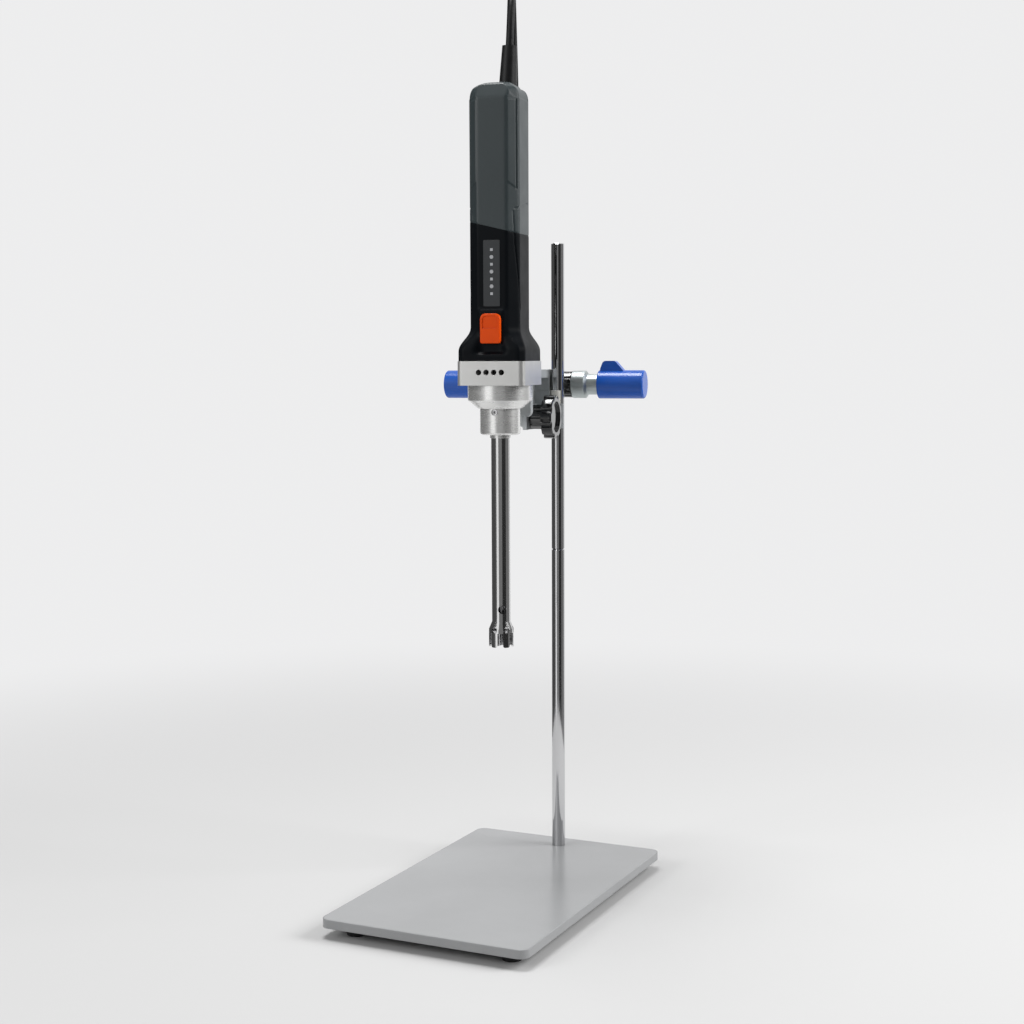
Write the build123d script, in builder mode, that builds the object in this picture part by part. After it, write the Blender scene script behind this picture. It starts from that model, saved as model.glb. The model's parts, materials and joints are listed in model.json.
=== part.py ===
from build123d import *
import math
import os

os.makedirs("parts", exist_ok=True)

# High-shear homogenizer on a column stand, in millimetres.
# The origin is on the bench, straight below the dispersing tube. +Z is up, the motor's
# front faces -Y, and the column stands behind the tube.

# Fits
running_gap = 0.05
loose_gap = 0.3
screw_gap = 0.25

# Base plate and feet
plate_width = 200
plate_length = 320
plate_thickness = 8
plate_corner = 9
plate_edge = 0.8
foot_height = 10
foot_top_radius = 11.5
foot_bottom_radius = 8.5
foot_inset = 24
foot_screw_radius = 2
foot_screw_head_radius = 4
foot_screw_head_height = 2.4
foot_screw_cover = 3
foot_screw_depth = 6

# Column, in two equal sections that meet on a stud
column_radius = 6.5
column_section = 300
column_edge = 0.8
column_from_back = 24
column_spigot_radius = 5
column_seat_depth = 2
column_screw_radius = 3
column_screw_length = 26
column_screw_head_radius = 5
column_screw_head_height = 4
column_washer_radius = 11
column_washer_thickness = 1.5
stud_radius = 4
stud_length = 30

# The head is swung on the column so that the tube hangs over the middle of the plate
column_offset = 19
column_reach = 135
stand_turn = 9.0

# Heights of the head at rest
seat_height = 504.4
flange_thickness = 21.8
tier_height = 13.6
cone_height = 7.5
sleeve_height = 24
collar_height = 3

# Adapter radii and widths
flange_half = 31.6
flange_corner = 5
flange_bore = 21
tier_radius = 29.4
sleeve_radius = 18.4
sleeve_round = 2.5
collar_radius = 9.4
air_hole_radius = 2.5
air_hole_pitch = 7.1
air_hole_count = 4
air_hole_drop = 10
adapter_screw_radius = 2
adapter_screw_place = 24.5
adapter_screw_head_radius = 3.5
adapter_screw_head_height = 3
adapter_screw_bite = 12
set_screw_radius = 2.5
set_screw_drop = 3.2

# Dispersing tube
tube_radius = 8.5
tube_wall = 1.4
tube_length = 172
tube_socket = 26
vent_radius = 3.9
vent_height = 11.5
head_radius = 11.5
head_wall = 1.9
head_length = 23.5
head_flare = 7
window_radius = 2.9
window_height = 16
claw_count = 6
claw_turn = -18
claw_gap_width = 5.2
claw_height = 13
claw_tip_round = 1.8
head_spigot = 6
head_spigot_wall = 1.6
head_throat = 4
vent_turn = 24
set_screw_recess = 1
set_screw_socket = 1.4
set_screw_socket_depth = 2.5
cone_step = 2
coupling_space = 1

# Drive line
drive_shaft_radius = 3
bush_length = 12
bush_inset = 10
seal_length = 5
rotor_radius = 9.2
rotor_length = 15
rotor_rise = 1.5
rotor_bore_depth = 10
rotor_blades = 4
rotor_blade_thickness = 2.4
rotor_hub_radius = 4.5
coupling_radius = 9
coupling_length = 26
coupling_rise = 1.2
coupling_shaft_depth = 11
motor_shaft_radius = 4
fan_radius = 18
fan_height = 9
fan_blades = 9
fan_disc = 1.6
fan_hub_radius = 7
fan_blade_thickness = 1.6
fan_gap = 1.5
bearing_wall = 7
bearing_sink = 5.4
bearing_lip = 3
bearing_edge = 0.6
bearing_thickness = 7
lower_bearing_radius = 13
upper_bearing_radius = 9.5
armature_radius = 11
armature_length = 48
stator_gap = 1
stator_length = 52
stator_slots = 6
stator_slot_width = 6
stator_slot_depth = 4
coil_height = 9
coil_gap = 1
coil_wall = 5
motor_gap = 5
upper_bearing_gap = 7

# Motor housing
motor_length = 244.6
body_half = 24.5
body_bevel = 9.3
body_back_round = 9
base_half = 31.4
base_bevel = 5
base_back_round = 7
base_height = 9
flare_height = 21
flare_steps = 8
top_bevel = 4.5
housing_wall = 3
housing_bore = 18.5
split_height = 119
split_slope = 13.5
housing_screw_radius = 1.5
housing_screw_length = 10
housing_screw_head_radius = 2.8
housing_screw_head_height = 1.8
housing_screw_place = 8
housing_screw_drop = 8.5
tab_half_width = 14
tab_depth = 13.5
tab_height = 30
tab_thickness = 7.5
board_y = 6
board_thickness = 1.6
board_height = 80
board_edge_gap = 0.3
capacitor_radius = 5
capacitor_height = 9
board_part_pitch = 18
board_part_columns = 2
board_part_rows = 3

# Switch and label panel
pad_half_width = 12.2
pad_bottom = 8.4
pad_top = 46
pad_front = 27
button_width = 18.8
button_height = 26.6
button_thickness = 3.8
button_bottom = 15.8
button_travel = 6
button_neck_width = 8
button_neck_height = 12
button_round = 5
button_foot_round = 2
thumb_rim = 2.2
thumb_depth = 0.8
thumb_round = 3
switch_slot_play = 1
switch_half_width = 6
switch_height = 30
switch_back = 20.3
switch_front = 24.4
switch_pocket_play = 0.3
tongue_width = 3
tongue_height = 4
tongue_depth = 2
pad_skin = 2
pad_corner = 2
button_lift = 0.15
button_edge = 1
label_width = 15.4
label_rise = 2.8
label_drop = 11.4
label_thickness = 0.8
label_sink = 0.4
label_corner = 1

# Carriage
beam_width = 22
beam_drop = 9
beam_height = 8
web_thickness = 8
web_drop = 52.5
pad_width = 40
pad_thickness = 8
pad_height = 46
bracket_screw_radius = 2.5
bracket_screw_head_radius = 4.3
bracket_screw_head_height = 4
bracket_screw_bite = 8
bracket_screw_place = 15.5
pad_round = 5
pad_rise = 3
clamp_drop = 54.4
clamp_forward = 33
clamp_below = 13
clamp_above = 25
web_boss = 9
liner_wall = 1.5
liner_opening = 56
seat_wall = 4.5
seat_back_angle = 80
seat_front_angle = 222
seat_split = 0.7
filler_side = 1.7
filler_back = 8
jaw_wall = 3.1
jaw_plate = 4
jaw_inset = 1
jaw_reach = 18
jaw_bar_width = 6.2
jaw_first_angle = 236
jaw_last_angle = 315
rear_block_left = 18
rear_block_gap = 0.5
rear_block_drop = 11
lug_gap_left = 7
lug_gap_right = 6
bar_behind = 21
bar_drop = 24
bar_radius = 6
rear_block_back = 12

# Star knob
flute_shift = 0.35
knob_stud_radius = 4
stud_sink = 12
stud_edge = 0.8
hub_groove = 1.8
lobe_edge = 1.5
dish_radius = 15
dish_depth = 2.5
knob_side = 1.6
hub_length = 14.1
hub_radius = 11.7
hub_flutes = 10
lobe_length = 10.6
lobe_radius = 21
lobe_count = 9
lobe_groove = 3.4

# Cross bar handles
bar_half_length = 98
grip_start = 55.8
grip_end = 102.2
grip_radius = 14
neck_start = 45
neck_radius = 10.2
ring_start = 29.2
ring_radius = 13.6
nut_radius = 13
nut_flutes = 12
nut_groove = 1.6
ring_edge = 1
ring_slope = 2.5
grip_end_round = 2
grip_edge = 1
fin_edge = 8
fin_foot = 1
fin_start = 2
fin_flat_start = 5
fin_flat_end = 17
fin_end = 26
fin_height = 9.2
fin_round = 4
fin_thickness = 10

# Cord
cord_radius = 3.5
boot_x = 5
boot_y = 12
boot_base_radius = 8
boot_top_radius = 6.6
boot_length = 38
boot_lean = 3
boot_collar_radius = 8.6
boot_collar_height = 2.5
boot_neck_radius = 5.5
boot_flange_radius = 8
boot_flange_height = 2.3
lead_first_run = 33
# Corners of the cord's arch: how far back and across to the hank, and how high over its rise
arch_corners = [(0.29, 0.1, 24.4), (0.7, 0.3, 24.6), (0.99, 0.55, 1.2), (1, 1, -67.9)]
hank_turn = 16.5
hank_fold_radius = 24
hank_run = 119
hank_turns = 4
hank_pitch = 7.6
hank_waist = 9
hank_side = 15.6
hank_back = 89.5
hank_waist_half = 12
fold_steps = 4
hank_lead_in = 20
waist_share = 0.38
run_share = 0.45
tail_step = 2.3
tail_first = 12
tail_second = 34
tail_height = 52
tail_shift = 9
gap_samples = 1200
tie_width = 14
tie_thickness = 1.6
tie_corner = 4.6
tie_gap = 0.5
plug_length = 34
plug_width = 24
plug_thickness = 14
plug_pin_radius = 2.4
plug_pin_length = 19
plug_pin_pitch = 19
plug_pin_edge = 0.8
plug_foot_wall = 1.6
plug_neck = 12
plug_corner = 4

# Heights worked out from the sizes above
plate_top = foot_height + plate_thickness
column_joint = plate_top + column_section
flange_bottom = seat_height - flange_thickness
tier_bottom = flange_bottom - tier_height
cone_bottom = tier_bottom - cone_height
sleeve_bottom = cone_bottom - sleeve_height
collar_bottom = sleeve_bottom - collar_height
tube_top = sleeve_bottom + tube_socket
tube_bottom = collar_bottom - tube_length + collar_height
head_bottom = tube_bottom - head_length
motor_top = seat_height + motor_length
clamp_z = seat_height - clamp_drop
clamp_y = column_reach - clamp_forward
bar_y = column_reach + bar_behind
bar_z = seat_height - bar_drop
beam_top = seat_height - beam_drop
beam_bottom = beam_top - beam_height
liner_radius = column_radius + running_gap + liner_wall
seat_radius = liner_radius + running_gap
clamp_bottom = clamp_z - clamp_below
clamp_top = clamp_z + clamp_above
jaw_bottom = clamp_bottom + jaw_inset
jaw_height = 2 * (clamp_below - jaw_inset)
web_bottom = seat_height - web_drop
hub_face = knob_side
jaw_left = hub_face - loose_gap / 2 - jaw_plate
web_right = jaw_left - loose_gap / 2
web_left = web_right - web_thickness
pad_face = flange_half
pad_top_z = beam_top + pad_rise
rear_block_right = column_offset - column_radius - rear_block_gap
beam_end = column_reach - column_radius - rear_block_gap
casting_back = bar_y + rear_block_back
rear_block_bottom = bar_z - rear_block_drop
seat_outer = seat_radius + seat_wall
filler_left = web_left - column_offset
filler_right = -seat_radius + filler_side
filler_front = -seat_radius - seat_split / 2
jaw_back = column_reach - seat_radius - seat_split
jaw_front = clamp_y - jaw_reach
jaw_bar_front = jaw_back - jaw_bar_width
jaw_bar_end = hub_face + hub_length - loose_gap
bracket_screw_z = seat_height - air_hole_drop
bracket_screw_points = [
    (-bracket_screw_place, bracket_screw_z),
    (bracket_screw_place, bracket_screw_z),
]

cone_top_radius = tier_radius
cone_foot_radius = sleeve_radius + cone_step
adapter_screw_points = [(x, y) for x in (-adapter_screw_place, adapter_screw_place)
                        for y in (-adapter_screw_place, adapter_screw_place)]
tube_bore = tube_radius - tube_wall
seal_bottom = tube_top + loose_gap
coupling_bottom = seal_bottom + seal_length + coupling_rise
coupling_top = coupling_bottom + coupling_length
set_screw_z = cone_bottom - set_screw_drop
vent_z = tube_bottom + vent_height
window_z = head_bottom + window_height
rotor_bottom = head_bottom + rotor_rise
lower_bearing_bottom = seat_height - bearing_sink
fan_bottom = lower_bearing_bottom + bearing_thickness + fan_gap
coil_bottom = fan_bottom + fan_height + motor_gap
stator_bottom = coil_bottom + coil_height
stator_top = stator_bottom + stator_length
upper_bearing_bottom = stator_top + coil_height + upper_bearing_gap
upper_bearing_top = upper_bearing_bottom + bearing_thickness
stator_bore = armature_radius + stator_gap
split_z = seat_height + split_height
body_bottom = seat_height + base_height + flare_height
pad_low = seat_height + pad_bottom
pad_high = seat_height + pad_top
button_low = seat_height + button_bottom
button_middle = button_low + button_height / 2
label_low = pad_high + label_rise
label_height = split_z - label_drop - label_low
tab_low = split_z - tab_depth
housing_screw_points = [(side * housing_screw_place, split_z - housing_screw_drop) for side in (-1, 1)]
board_bottom = split_z + (body_half - housing_wall) * math.tan(math.radians(split_slope)) + loose_gap

# The stand's own plane: its origin is on the bench under the column
turn = math.radians(stand_turn)
stand = Plane(
    origin=(column_offset, column_reach, 0),
    x_dir=(math.cos(turn), -math.sin(turn), 0),
    z_dir=(0, 0, 1),
)
plate_middle = -(plate_length / 2 - column_from_back)
foot_points = [
    (side * (plate_width / 2 - foot_inset), plate_middle + end * (plate_length / 2 - foot_inset))
    for side in (-1, 1)
    for end in (-1, 1)
]

# Base plate with the column's seat and hole, and four blind holes for the foot screws
with BuildPart() as base_plate:
    with BuildSketch(stand.offset(foot_height)):
        with Locations((0, plate_middle)):
            RectangleRounded(plate_width, plate_length, plate_corner)
        Circle(column_spigot_radius + running_gap, mode=Mode.SUBTRACT)
    extrude(amount=plate_thickness)
    rim = base_plate.faces().sort_by(Axis.Z)[-1].outer_wire().edges()
    fillet(rim, plate_edge)
    with BuildSketch(stand.offset(plate_top)):
        Circle(column_radius + running_gap)
    extrude(amount=-column_seat_depth, mode=Mode.SUBTRACT)
    with BuildSketch(stand.offset(foot_height)):
        with Locations(*foot_points):
            Circle(foot_screw_radius + running_gap)
    extrude(amount=foot_screw_depth + loose_gap, mode=Mode.SUBTRACT)

# Rubber feet, tapered down, each with a sunk seat for its screw
with BuildPart() as feet:
    for place in foot_points:
        with BuildSketch(stand):
            with Locations(place):
                Circle(foot_bottom_radius)
        with BuildSketch(stand.offset(foot_height)):
            with Locations(place):
                Circle(foot_top_radius)
        loft()
    with BuildSketch(stand):
        with Locations(*foot_points):
            Circle(foot_screw_head_radius + screw_gap)
    extrude(amount=foot_screw_cover + foot_screw_head_height, mode=Mode.SUBTRACT)
    with BuildSketch(stand):
        with Locations(*foot_points):
            Circle(foot_screw_radius + running_gap)
    extrude(amount=foot_height, mode=Mode.SUBTRACT)

with BuildPart() as foot_screws:
    with BuildSketch(stand.offset(foot_screw_cover)):
        with Locations(*foot_points):
            Circle(foot_screw_head_radius)
    extrude(amount=foot_screw_head_height)
    with BuildSketch(stand.offset(foot_screw_cover)):
        with Locations(*foot_points):
            Circle(foot_screw_radius)
    extrude(amount=foot_height - foot_screw_cover + foot_screw_depth)

# Lower column: its spigot stands in the plate, and a screw from below holds it
with BuildPart() as column_lower:
    with BuildSketch(stand.offset(plate_top - column_seat_depth)):
        Circle(column_radius)
    extrude(amount=column_section + column_seat_depth)
    chamfer(column_lower.edges().group_by(Axis.Z)[-1], column_edge)
    with BuildSketch(stand.offset(foot_height)):
        Circle(column_spigot_radius)
    extrude(amount=plate_thickness)
    with BuildSketch(stand.offset(column_joint)):
        Circle(stud_radius + running_gap)
    extrude(amount=-stud_length / 2, mode=Mode.SUBTRACT)
    with BuildSketch(stand.offset(foot_height)):
        Circle(column_screw_radius + running_gap)
    extrude(amount=column_screw_length, mode=Mode.SUBTRACT)

with BuildPart() as column_upper:
    with BuildSketch(stand.offset(column_joint)):
        Circle(column_radius)
    extrude(amount=column_section)
    chamfer(column_upper.edges().group_by(Axis.Z)[-1], column_edge)
    chamfer(column_upper.edges().group_by(Axis.Z)[0], column_edge)
    with BuildSketch(stand.offset(column_joint)):
        Circle(stud_radius + running_gap)
    extrude(amount=stud_length / 2, mode=Mode.SUBTRACT)

with BuildPart() as joint_stud:
    with BuildSketch(stand.offset(column_joint - stud_length / 2)):
        Circle(stud_radius)
    extrude(amount=stud_length)

with BuildPart() as column_washer:
    with BuildSketch(stand.offset(foot_height - column_washer_thickness)):
        Circle(column_washer_radius)
        Circle(column_screw_radius + screw_gap, mode=Mode.SUBTRACT)
    extrude(amount=column_washer_thickness)

with BuildPart() as column_screw:
    with BuildSketch(stand.offset(foot_height - column_washer_thickness)):
        RegularPolygon(column_screw_head_radius, 6)
    extrude(amount=-column_screw_head_height)
    with BuildSketch(stand.offset(foot_height - column_washer_thickness)):
        Circle(column_screw_radius)
    extrude(amount=column_screw_length)


# A sector of a ring about the origin, between two angles in degrees
def ring_sector(inner, outer, first_angle, last_angle):
    spread = last_angle - first_angle
    with BuildSketch() as sector:
        with BuildLine():
            inner_arc = CenterArc((0, 0), inner, first_angle, spread)
            outer_arc = CenterArc((0, 0), outer, first_angle, spread)
            Line(inner_arc @ 0, outer_arc @ 0)
            Line(inner_arc @ 1, outer_arc @ 1)
        make_face()
    return sector.sketch


# A circle with grooves all round, for knobs and nuts
def fluted_circle(radius, count, groove):
    with BuildSketch() as outline:
        Circle(radius)
        with PolarLocations(radius + groove * flute_shift, count):
            Circle(groove, mode=Mode.SUBTRACT)
    return outline.sketch


# The motor housing's outline: flat bevels at the front corners, round ones at the back
def shell_outline(half, bevel, back_round):
    with BuildSketch() as outline:
        Rectangle(2 * half, 2 * half)
        chamfer(outline.vertices().group_by(Axis.Y)[0], bevel)
        fillet(outline.vertices().group_by(Axis.Y)[-1], back_round)
    return outline.sketch


column_plane = Plane((column_offset, column_reach, 0))

# Nylon liner: a sleeve open towards the right, between the column and its seat
with BuildPart() as column_liner:
    with BuildSketch(column_plane.offset(clamp_bottom)):
        add(ring_sector(column_radius + running_gap, liner_radius, liner_opening, 360 - liner_opening))
    extrude(amount=clamp_top - clamp_bottom)

# Carriage casting: pad on the adapter, top beam, web, column seat and rear block
with BuildPart() as carriage_casting:
    with BuildSketch(Plane.XY.offset(pad_top_z)):
        with Locations((0, pad_face + pad_thickness / 2)):
            Rectangle(pad_width, pad_thickness)
    extrude(amount=-pad_height)
    fillet(carriage_casting.edges().filter_by(Axis.Y), pad_round)
    with BuildSketch(Plane.XY.offset(beam_bottom)):
        with Locations((0, (pad_face + beam_end) / 2)):
            Rectangle(beam_width, beam_end - pad_face)
    extrude(amount=beam_height)
    with BuildSketch(Plane.YZ.offset(web_left)):
        with BuildLine():
            Polyline(
                (pad_face, beam_top),
                (pad_face, web_bottom),
                (clamp_y - hub_radius, web_bottom),
                (clamp_y, clamp_z - web_boss),
                (column_reach - seat_outer, clamp_bottom),
                (column_reach + seat_outer, clamp_bottom),
                (column_reach + seat_outer, beam_top),
                close=True,
            )
        make_face()
    extrude(amount=web_thickness)
    with BuildSketch(column_plane.offset(clamp_bottom)):
        add(ring_sector(seat_radius, seat_outer, seat_back_angle, seat_front_angle))
        with Locations(((filler_left + filler_right) / 2, (filler_front + seat_outer) / 2)):
            Rectangle(filler_right - filler_left, seat_outer - filler_front)
        with Locations((filler_left / 2, seat_outer - filler_back / 2)):
            Rectangle(-filler_left, filler_back)
        Circle(seat_radius, mode=Mode.SUBTRACT)
    extrude(amount=clamp_top - clamp_bottom)
    # rear block above the seat, with a gap under the beam that leaves a lug on each side
    with BuildSketch(Plane.XY.offset(clamp_top)):
        with Locations(((rear_block_right - rear_block_left) / 2, (beam_end + casting_back) / 2)):
            Rectangle(rear_block_right + rear_block_left, casting_back - beam_end)
    extrude(amount=beam_top - clamp_top)
    with BuildSketch(Plane.XY.offset(rear_block_bottom)):
        with Locations(((rear_block_right - rear_block_left) / 2, bar_y)):
            Rectangle(rear_block_right + rear_block_left, 2 * rear_block_back)
    extrude(amount=clamp_top - rear_block_bottom)
    with BuildSketch(Plane.XY.offset(rear_block_bottom)):
        with Locations(((lug_gap_right - lug_gap_left) / 2, bar_y)):
            Rectangle(lug_gap_right + lug_gap_left, 2 * rear_block_back)
    extrude(amount=beam_bottom - rear_block_bottom, mode=Mode.SUBTRACT)
    with BuildSketch(Plane.YZ.offset(rear_block_right)):
        with Locations((bar_y, bar_z)):
            Circle(bar_radius + running_gap)
    extrude(amount=-(rear_block_right + rear_block_left), mode=Mode.SUBTRACT)
    # room for the right-hand lock nut beside the column seat
    with BuildSketch(Plane.YZ.offset(rear_block_right)):
        with Locations((bar_y, bar_z)):
            Circle(nut_radius + loose_gap)
    extrude(amount=ring_start - rear_block_right, mode=Mode.SUBTRACT)
    with BuildSketch(Plane.YZ.offset(web_right)):
        with Locations((clamp_y, clamp_z)):
            Circle(knob_stud_radius + running_gap)
    extrude(amount=-web_thickness, mode=Mode.SUBTRACT)
    with BuildSketch(Plane.XZ.offset(-pad_face)):
        with Locations(*bracket_screw_points):
            Circle(bracket_screw_radius + running_gap)
    extrude(amount=-pad_thickness, mode=Mode.SUBTRACT)

# Hook jaw: a plate on the web's right side whose hook wraps the column's front
with BuildPart() as clamp_jaw:
    with BuildSketch(Plane.XY.offset(jaw_bottom)):
        with Locations((jaw_left + jaw_plate / 2, (jaw_front + jaw_back) / 2)):
            Rectangle(jaw_plate, jaw_back - jaw_front)
        with Locations(((jaw_left + jaw_bar_end) / 2, (jaw_bar_front + jaw_back) / 2)):
            Rectangle(jaw_bar_end - jaw_left, jaw_back - jaw_bar_front)
        with Locations((column_offset, column_reach)):
            Circle(seat_radius, mode=Mode.SUBTRACT)
    extrude(amount=jaw_height)
    with BuildSketch(column_plane.offset(jaw_bottom)):
        add(ring_sector(seat_radius, seat_radius + jaw_wall, jaw_first_angle, jaw_last_angle))
    extrude(amount=jaw_height)
    with BuildSketch(Plane.YZ.offset(jaw_left)):
        with Locations((clamp_y, clamp_z)):
            Circle(knob_stud_radius + screw_gap)
    extrude(amount=jaw_plate, mode=Mode.SUBTRACT)

with BuildPart() as bracket_screws:
    with BuildSketch(Plane.XZ.offset(-pad_face - pad_thickness)):
        with Locations(*bracket_screw_points):
            Circle(bracket_screw_head_radius)
    extrude(amount=-bracket_screw_head_height)
    with BuildSketch(Plane.XZ.offset(-pad_face - pad_thickness)):
        with Locations(*bracket_screw_points):
            Circle(bracket_screw_radius)
    extrude(amount=pad_thickness + bracket_screw_bite)

# Star knob: a fluted hub against the jaw and a dished lobed grip outside it, on a stud
with BuildPart() as star_knob:
    with BuildSketch(Plane.YZ.offset(hub_face)):
        with Locations((clamp_y, clamp_z)):
            add(fluted_circle(hub_radius, hub_flutes, hub_groove))
    extrude(amount=hub_length)
    with BuildSketch(Plane.YZ.offset(hub_face + hub_length)):
        with Locations((clamp_y, clamp_z)):
            add(fluted_circle(lobe_radius, lobe_count, lobe_groove))
    extrude(amount=lobe_length)
    fillet(star_knob.faces().sort_by(Axis.X)[-1].outer_wire().edges(), lobe_edge)
    with BuildSketch(Plane.YZ.offset(hub_face + hub_length + lobe_length)):
        with Locations((clamp_y, clamp_z)):
            Circle(dish_radius)
    extrude(amount=-dish_depth, mode=Mode.SUBTRACT)
    with BuildSketch(Plane.YZ.offset(hub_face)):
        with Locations((clamp_y, clamp_z)):
            Circle(knob_stud_radius + running_gap)
    extrude(amount=stud_sink + running_gap, mode=Mode.SUBTRACT)

with BuildPart() as clamp_stud:
    with BuildSketch(Plane.YZ.offset(web_left)):
        with Locations((clamp_y, clamp_z)):
            Circle(knob_stud_radius)
    extrude(amount=hub_face + stud_sink - web_left)
    chamfer(clamp_stud.edges().sort_by(Axis.X)[0], stud_edge)

# Cross bar behind the column, with the same handle on both ends
with BuildPart() as cross_bar:
    with BuildSketch(Plane.YZ.offset(-bar_half_length)):
        with Locations((bar_y, bar_z)):
            Circle(bar_radius)
    extrude(amount=2 * bar_half_length)

handles = {}
for side_name, side in (("left", -1), ("right", 1)):
    block_face = rear_block_right if side > 0 else rear_block_left
    # each handle is drawn outwards from the centre plane
    handle_plane = Plane(origin=(0, bar_y, bar_z), x_dir=(0, 0, 1), z_dir=(side, 0, 0))
    profile_plane = Plane(origin=(0, bar_y, bar_z), x_dir=(side, 0, 0), z_dir=(0, -side, 0))

    with BuildPart() as lock_nut:
        with BuildSketch(handle_plane.offset(block_face + loose_gap)):
            add(fluted_circle(nut_radius, nut_flutes, nut_groove))
            Circle(bar_radius + running_gap, mode=Mode.SUBTRACT)
        extrude(amount=ring_start - loose_gap - block_face - loose_gap)
    handles[f"lock_nut_{side_name}"] = lock_nut

    with BuildPart() as ferrule:
        with BuildSketch(profile_plane):
            with BuildLine():
                Polyline(
                    (ring_start, bar_radius + running_gap),
                    (ring_start, ring_radius - ring_edge),
                    (ring_start + ring_edge, ring_radius),
                    (neck_start - ring_slope, ring_radius),
                    (neck_start, neck_radius),
                    (grip_start, neck_radius),
                    (grip_start, bar_radius + running_gap),
                    close=True,
                )
            make_face()
        revolve(axis=Axis((0, bar_y, bar_z), (1, 0, 0)))
    handles[f"handle_ferrule_{side_name}"] = ferrule

    with BuildPart() as grip:
        with BuildSketch(handle_plane.offset(grip_start)):
            Circle(grip_radius)
        extrude(amount=grip_end - grip_start)
        outwards = Axis((0, bar_y, bar_z), (side, 0, 0))
        fillet(grip.faces().sort_by(outwards)[-1].edges(), grip_end_round)
        fillet(grip.faces().sort_by(outwards)[0].edges(), grip_edge)
        with BuildSketch(Plane.XZ.offset(-bar_y - fin_thickness / 2)) as fin:
            with BuildLine():
                Polyline(
                    (side * (grip_start + fin_start), bar_z),
                    (side * (grip_start + fin_start), bar_z + grip_radius + fin_height - fin_edge),
                    (side * (grip_start + fin_flat_start), bar_z + grip_radius + fin_height),
                    (side * (grip_start + fin_flat_end), bar_z + grip_radius + fin_height),
                    (side * (grip_start + fin_end), bar_z + grip_radius - fin_foot),
                    (side * (grip_start + fin_end), bar_z),
                    close=True,
                )
            make_face()
            fillet(fin.vertices().group_by(Axis.Y)[-1], fin_round)
        extrude(amount=fin_thickness)
        with BuildSketch(handle_plane.offset(grip_start)):
            Circle(bar_radius + running_gap)
        extrude(amount=bar_half_length - grip_start, mode=Mode.SUBTRACT)
    handles[f"grip_{side_name}"] = grip

# Square flange that carries the motor, with its bearing seat and four air holes in front
with BuildPart() as adapter_flange:
    with BuildSketch(Plane.XY.offset(flange_bottom)):
        RectangleRounded(2 * flange_half, 2 * flange_half, flange_corner)
    extrude(amount=flange_thickness)
    with BuildSketch(Plane.XY.offset(flange_bottom)):
        Circle(flange_bore)
    extrude(amount=flange_thickness - bearing_wall, mode=Mode.SUBTRACT)
    with BuildSketch(Plane.XY.offset(seat_height)):
        Circle(lower_bearing_radius + running_gap)
    extrude(amount=-bearing_sink, mode=Mode.SUBTRACT)
    with BuildSketch(Plane.XY.offset(seat_height)):
        Circle(lower_bearing_radius - bearing_lip)
    extrude(amount=-bearing_wall, mode=Mode.SUBTRACT)
    with BuildSketch(Plane.XZ.offset(flange_half)):
        with Locations((0, seat_height - air_hole_drop)):
            with GridLocations(air_hole_pitch, air_hole_pitch, air_hole_count, 1):
                Circle(air_hole_radius)
    extrude(amount=-flange_half, mode=Mode.SUBTRACT)
    with BuildSketch(Plane.XZ.offset(-flange_half)):
        with Locations(*bracket_screw_points):
            Circle(bracket_screw_radius + running_gap)
    extrude(amount=bracket_screw_bite + loose_gap, mode=Mode.SUBTRACT)
    with BuildSketch(Plane.XY.offset(flange_bottom)):
        with Locations(*adapter_screw_points):
            Circle(adapter_screw_radius + running_gap)
    extrude(amount=flange_thickness, mode=Mode.SUBTRACT)
    with BuildSketch(Plane.XY.offset(flange_bottom)):
        with Locations(*adapter_screw_points):
            Circle(adapter_screw_head_radius + screw_gap)
    extrude(amount=adapter_screw_head_height + loose_gap, mode=Mode.SUBTRACT)

# Screws from under the flange up into the motor housing's base
with BuildPart() as adapter_screws:
    with BuildSketch(Plane.XY.offset(flange_bottom + loose_gap)):
        with Locations(*adapter_screw_points):
            Circle(adapter_screw_head_radius)
    extrude(amount=adapter_screw_head_height)
    with BuildSketch(Plane.XY.offset(flange_bottom + loose_gap)):
        with Locations(*adapter_screw_points):
            Circle(adapter_screw_radius)
    extrude(amount=flange_thickness - loose_gap + adapter_screw_bite)

# Turned adapter body: round tier, cone and sleeve, bored for the tube and the coupling
with BuildPart() as adapter_body:
    with BuildSketch(Plane.XZ):
        with BuildLine():
            Polyline(
                (tube_radius + running_gap, sleeve_bottom),
                (sleeve_radius, sleeve_bottom),
                (sleeve_radius, cone_bottom),
                (cone_foot_radius, cone_bottom),
                (cone_top_radius, tier_bottom),
                (tier_radius, flange_bottom),
                (coupling_radius + coupling_space, flange_bottom),
                (coupling_radius + coupling_space, seal_bottom + seal_length),
                (tube_radius + running_gap, seal_bottom + seal_length),
                close=True,
            )
        make_face()
    revolve(axis=Axis.Z)
    lowest_rim = adapter_body.edges().group_by(Axis.Z)[0].sort_by(SortBy.RADIUS)[-1]
    fillet(lowest_rim, sleeve_round)
    with BuildSketch(Plane.XZ):
        with Locations((0, set_screw_z)):
            Circle(set_screw_radius + running_gap)
    extrude(amount=sleeve_radius, mode=Mode.SUBTRACT)

with BuildPart() as set_screw:
    with BuildSketch(Plane.XZ.offset(tube_radius + running_gap)):
        with Locations((0, set_screw_z)):
            Circle(set_screw_radius)
    extrude(amount=sleeve_radius - tube_radius - running_gap - set_screw_recess)
    with BuildSketch(Plane.XZ.offset(sleeve_radius - set_screw_recess)):
        with Locations((0, set_screw_z)):
            RegularPolygon(set_screw_socket, 6)
    extrude(amount=-set_screw_socket_depth, mode=Mode.SUBTRACT)

with BuildPart() as tube_collar:
    with BuildSketch(Plane.XY.offset(collar_bottom)):
        Circle(collar_radius)
        Circle(tube_radius + running_gap, mode=Mode.SUBTRACT)
    extrude(amount=collar_height)


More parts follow.
